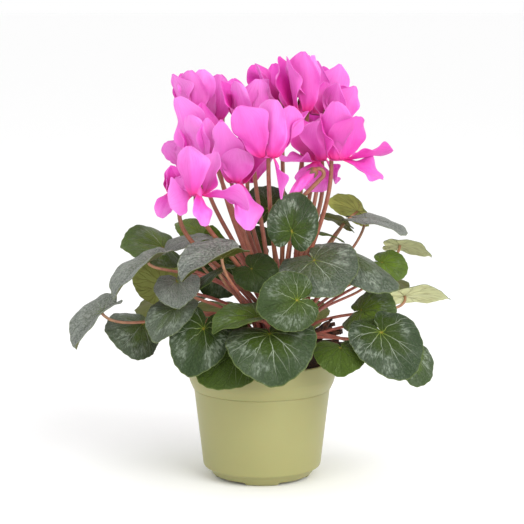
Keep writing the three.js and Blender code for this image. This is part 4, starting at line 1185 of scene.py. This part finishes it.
def calyx(seat, axes):
    """A cup of five pointed sepals. Down from the stalk its radius grows to that of the tube;
    its edge reaches furthest down at the middle of each sepal: depth = base + point (1-|s|),
    where s goes from -1 to 1 across a sepal."""
    rows = 9
    around, down = circle(50)[:, None], np.linspace(0, 1, rows)
    across = np.abs((around * 5 / (2 * np.pi)) % 1 * 2 - 1)
    depth = CALYX_HEIGHT + 0.4 + 3.6 * (1 - across)
    height = CALYX_HEIGHT - down * depth
    below = np.clip(-height / 4, 0, 1)
    swell = np.sin(np.pi / 2 * np.clip(down * depth / CALYX_HEIGHT, 0, 1))
    radius = 1.1 + 2.5 * swell + 0.9 * below
    local = joined(radius * np.cos(around), radius * np.sin(around), height) * MM
    return local @ axes + seat, np.full(rows, 0.4 * MM), joined(down, 0, 0)


# %% Sepals, and the finished flower stalks
sepal_finish = Finish("calyx_skin", Roughness=0.6)
sepal_share = sepal_finish.attribute("shape")[0]
sepal_fleck = sepal_finish.noise(sepal_finish.place(), 500.0, 3.0).ramp(0.45, 0.7)
sepal_skin = sepal_finish.mix(sepal_share.ramp(0.2, 0.9), rgb(150, 82, 66), rgb(110, 92, 56))
sepal_finish.colour(sepal_finish.mix(sepal_fleck * 0.5, sepal_skin, rgb(82, 34, 34)))
for number, row in enumerate(BLOOMS + [BUD]):
    flower_stalk(row, number)
finishes = [flower_stalk_finish, sepal_finish]
flower_growth.build("flower_stalks_and_calyces", finishes, "flower_stalks", "flower_stalk")

# %% [markdown]
# ## Blooms
# A bloom hangs with its mouth down and its five petals turned straight back over it. A petal
# leaves the mouth outwards, turns up at once and rises at its own flare; it is narrow at the
# mouth, widest past its middle and round or pointed at its end. Each petal is turned about its
# own middle line, so that the five overlap like the blades of a windmill, and its edge is softly
# ruffled. Cloth could be draped into such a shape, but a formula keeps every petal where the
# photograph shows it.

# %% Shape of a petal
PETAL_CLAW = 2.1
PETAL_CUP = 0.16
PETAL_FIRST = 63
PETAL_APART = 62
PETAL_ROWS, PETAL_COLUMNS = 34, 19
FULLNESS = 1.2
OPEN_FLARE = 70
WIDEST = 0.6


def petal_half_width(share, width, blunt):
    """Half the width at a share of the length: a narrow claw that swells as a sine to a power,
    then an end that narrows as (1 - b^1.7)^blunt: round where blunt is 0.5, a corner near 1."""
    swell = np.sin(np.pi / 2 * np.minimum(share / WIDEST, 1)) ** 1.5
    claw = PETAL_CLAW + (width / 2 - PETAL_CLAW) * swell
    beyond = np.maximum(0, (share - WIDEST) / 0.42)
    end = width / 2 * np.maximum(0.02, 1 - beyond**1.7) ** blunt
    return np.where(share < WIDEST, claw, end)


def petal_line(share, length, flare, bend):
    """Distance from the axis, height and angle of the middle line, summed over small steps. The
    angle from the axis is the flare plus the bend, and near the mouth it starts past level."""
    steps = 24
    place = share[:, None] * (np.arange(steps) + 0.5) / steps
    lean = np.radians(flare + bend * place**2)
    lean = lean + (math.radians(105) - lean) * np.exp(-place / 0.07)
    step = share * length / steps
    radius = MOUTH_RADIUS - 0.6 + step * np.sin(lean).sum(axis=1)
    height = 0.3 + step * np.cos(lean).sum(axis=1)
    return radius, height, lean[:, -1]


def petal_grid(row, axes, order, seed):
    """The points of a petal: along its middle line, and across it at its twist. The sides bend
    inwards as a square and fold at the middle line, two creases run beside it, and small waves
    grow towards the edge. The seed varies that fold, how far a petal leans to one side and how
    pointed it is."""
    mouth = np.array(row["at"]) * MM
    side, third, axis = axes
    flare, turn = row["flare"][order], row["turn"][order]
    share = np.linspace(0, 1, PETAL_ROWS) ** 1.15
    across = np.linspace(-1, 1, PETAL_COLUMNS)[:, None]
    length = row["long"] * row["scale"][order]
    radius, height, lean = petal_line(share, length, flare, row["bend"][order])
    skew, blunt = 0.45 * math.sin(2.3 * seed + 1), 0.82 + 0.18 * math.sin(1.3 * seed)
    if flare > OPEN_FLARE:
        skew, blunt = 0.5 * skew, 0.5
    place = share + skew * across * share * (1 - share)
    half = petal_half_width(place, row["wide"] * FULLNESS, blunt)
    twist = np.radians(turn * np.minimum(1, 0.5 + 1.4 * share))
    bearing = math.radians(PETAL_FIRST + PETAL_APART * order + row["swing"][order])
    outward = side * math.cos(bearing) + third * math.sin(bearing)
    beside = np.cross(axis, outward)
    away = outward * np.cos(lean)[:, None] - axis * np.sin(lean)[:, None]
    phase = seed * 1.7
    ruffle = np.sin(8 * share + phase + 2 * across) + 0.6 * np.sin(15 * share + 2 * phase)
    edge = np.abs(across) ** 3 * np.minimum(1, share / 0.3)
    crease = (0.14 + 0.1 * math.sin(3.1 * seed)) * half * np.abs(across) * np.sin(np.pi * share)
    lift = -PETAL_CUP * half * across**2 + 0.2 * half * ruffle * edge - crease
    lift = lift + 0.35 * np.cos(2 * np.pi * across) * np.minimum(1, share / 0.2) * (1 - 0.6 * share)
    middle = outward * radius[:, None] + axis * height[:, None]
    wide = half * across * (1 + 0.03 * np.sin(11 * share + 2 * phase))
    wide = wide + 6 * (blunt - 0.5) * math.sin(1.9 * seed + 0.5) * share**3
    points = middle + beside * (wide * np.cos(twist))[..., None]
    points = points + away * (wide * np.sin(twist) + lift)[..., None]
    return mouth + points * MM, joined(share, across, order / 5)


print("petal grid:", PETAL_ROWS, "by", PETAL_COLUMNS, "points")


# %% Petal finish
def petal_skin(name, base, middle, top):
    """Smooth and silky: a crimson mouth, then the three colours from base to end, with faint
    streaks along the petal and a paler edge. Two numbers of tone are painted shade, which
    deepens a petal, and painted light, which pales it."""
    finish = Finish(
        name,
        Roughness=0.55,
        Subsurface_Weight=0.35,
        Subsurface_Scale=0.004,
        Subsurface_Radius=(1.0, 0.35, 0.85),
    )
    noise, vector = finish.noise, finish.vector
    share, across, order = finish.attribute("shape")
    tone, painted_shade, light = finish.attribute("tone")
    streaks = noise(vector(across * 7.0, share * 1.1, order * 9.0 + tone * 5.0), 3.0, 3.0)
    patches = noise(vector(across, share * 2.0, order * 7.0 + tone * 9.0), 2.0, 2.0)
    pink = finish.layers(
        base,
        ((share + patches * 0.3).ramp(0.3, 0.65), middle),
        ((share + patches * 0.4).ramp(0.6, 1.1), top),
        (streaks.ramp(0.4, 0.75) * 0.25, rgb(196, 44, 150)),
        (abs(across).ramp(0.8, 1.0) * 0.35, rgb(238, 136, 222)),
        # Painted shade, then painted light, laid over the pink by the bloom's tone.
        (painted_shade * 0.5, rgb(200, 44, 150)),
        (light, rgb(255, 122, 226)),
    )
    deep = finish.mix(share.ramp(0.0, 0.07), rgb(150, 6, 74), rgb(224, 40, 132))
    finish.colour(finish.mix(share.ramp(0.05, 0.26), deep, pink))
    finish.bump(streaks, 0.0003, 0.4)
    return finish


OUTER_PINKS = rgb(214, 60, 164), rgb(232, 98, 196), rgb(242, 130, 218)
# Darker pinks for the inner faces: painted shade in the hollow of a bloom.
PAINTED_SHADE_PINKS = rgb(158, 10, 96), rgb(196, 30, 134), rgb(218, 70, 178)
petal_finish = petal_skin("petal_outside", *OUTER_PINKS)
painted_shade_inside_finish = petal_skin("petal_inside_painted_shade", *PAINTED_SHADE_PINKS)
tube_finish = Finish("corolla_tube", Roughness=0.5)
tube_share = tube_finish.attribute("shape")[0]
tube_fleck = tube_finish.noise(tube_finish.place(), 350.0, 2.0)
tube_skin = tube_finish.mix(tube_share.ramp(0.45, 0.6), rgb(132, 4, 66), rgb(216, 64, 160))
tube_finish.colour(tube_finish.mix(tube_fleck * 0.3, tube_skin, rgb(226, 110, 196)))

# %% Blooms, petal by petal
PETAL_THICKNESS = 0.7
TUBE_SIDES = 40
TUBE_PROFILE = [
    (0, 5.2),
    (2.5, 3.6),
    (MOUTH_RADIUS - 1.2, -0.3),
    (MOUTH_RADIUS + 0.2, -0.6),
    (MOUTH_RADIUS + 0.6, -0.2),
    (0.5 * (MOUTH_RADIUS + TUBE_RADIUS), 3),
    (TUBE_RADIUS - 1.6, TUBE_LENGTH),
    (0, TUBE_LENGTH + 0.2),
]
tube_rings = rounded(TUBE_PROFILE, 0.7)
ring_share = np.repeat(np.linspace(0, 1, len(tube_rings)), TUBE_SIDES)
tube_shape = joined(ring_share, 0, 0)
petal_thickness = PETAL_THICKNESS * (0.9 - 0.45 * np.linspace(0, 1, PETAL_ROWS)) * MM
for number, row in enumerate(BLOOMS):
    mouth, axes = bloom_frame(row)
    flower, label = Piece(), f"{number + 1:02d}"
    flower.skin(turned(tube_rings, TUBE_SIDES, axes, mouth, 0.03), tube_shape, kind=TUBE)
    for order in range(5):
        seed = 5 * number + order
        points, shape = petal_grid(row, axes, order, seed)
        # The bloom's painted shade, with a random tone for each petal; below 0 it goes to the third
        # number of tone as painted light.
        painted_shade = row["painted_shade"] + 0.3 * math.sin(2.9 * seed)
        tone = (number * 0.618 % 1, max(painted_shade, 0), max(-painted_shade, 0))
        # Inner faces of petals that stand up, not of open ones, get the painted shade where inside
        # says so.
        inner = row["inside"] if row["flare"][order] < OPEN_FLARE else OUTSIDE
        flower.sheet(points, petal_thickness, shape, tone, kinds=(inner, OUTSIDE))
    finishes = [petal_finish, tube_finish, painted_shade_inside_finish]
    flower.build("flower_" + label, finishes, "bloom_" + label, "petal")

# %% [markdown]
# ## Nodding young flower
# The youngest flower is still closed: its petals are rolled round each other into a pointed
# spindle. Five rolled sheets would hide all but their outer turn, so one turned profile does: its
# radius swells and shrinks five times round, and that pattern turns as it goes down, which gives
# the rolled look.

# %% Bud
BUD_SIDES = 60
BUD_PROFILE = [
    (0, -BUD["long"]),
    (1.6, -0.86 * BUD["long"]),
    (3.4, -0.55 * BUD["long"]),
    (4.4, -0.2 * BUD["long"]),
    (3.6, 0.1 * BUD["long"]),
    (3.4, TUBE_LENGTH),
    (0, TUBE_LENGTH),
]
radius, height = rounded(BUD_PROFILE, 3.0, 6).T[..., None]
angle = circle(BUD_SIDES)
swell = 1 + 0.09 * np.cos(5 * angle + 0.35 * height) * (height < 0)
x, y = radius * swell * np.cos(angle), radius * swell * np.sin(angle)
share = 0.3 + 0.6 * np.repeat(-height / BUD["long"], BUD_SIDES).clip(0, 1)
mouth, axes = bloom_frame(BUD)
bud = Piece()
bud.skin(joined(x, y, height) * MM @ axes + mouth, joined(share, 0, 0))
bud.build("rolled_bud_01", [petal_finish], "bud_01", "petal")
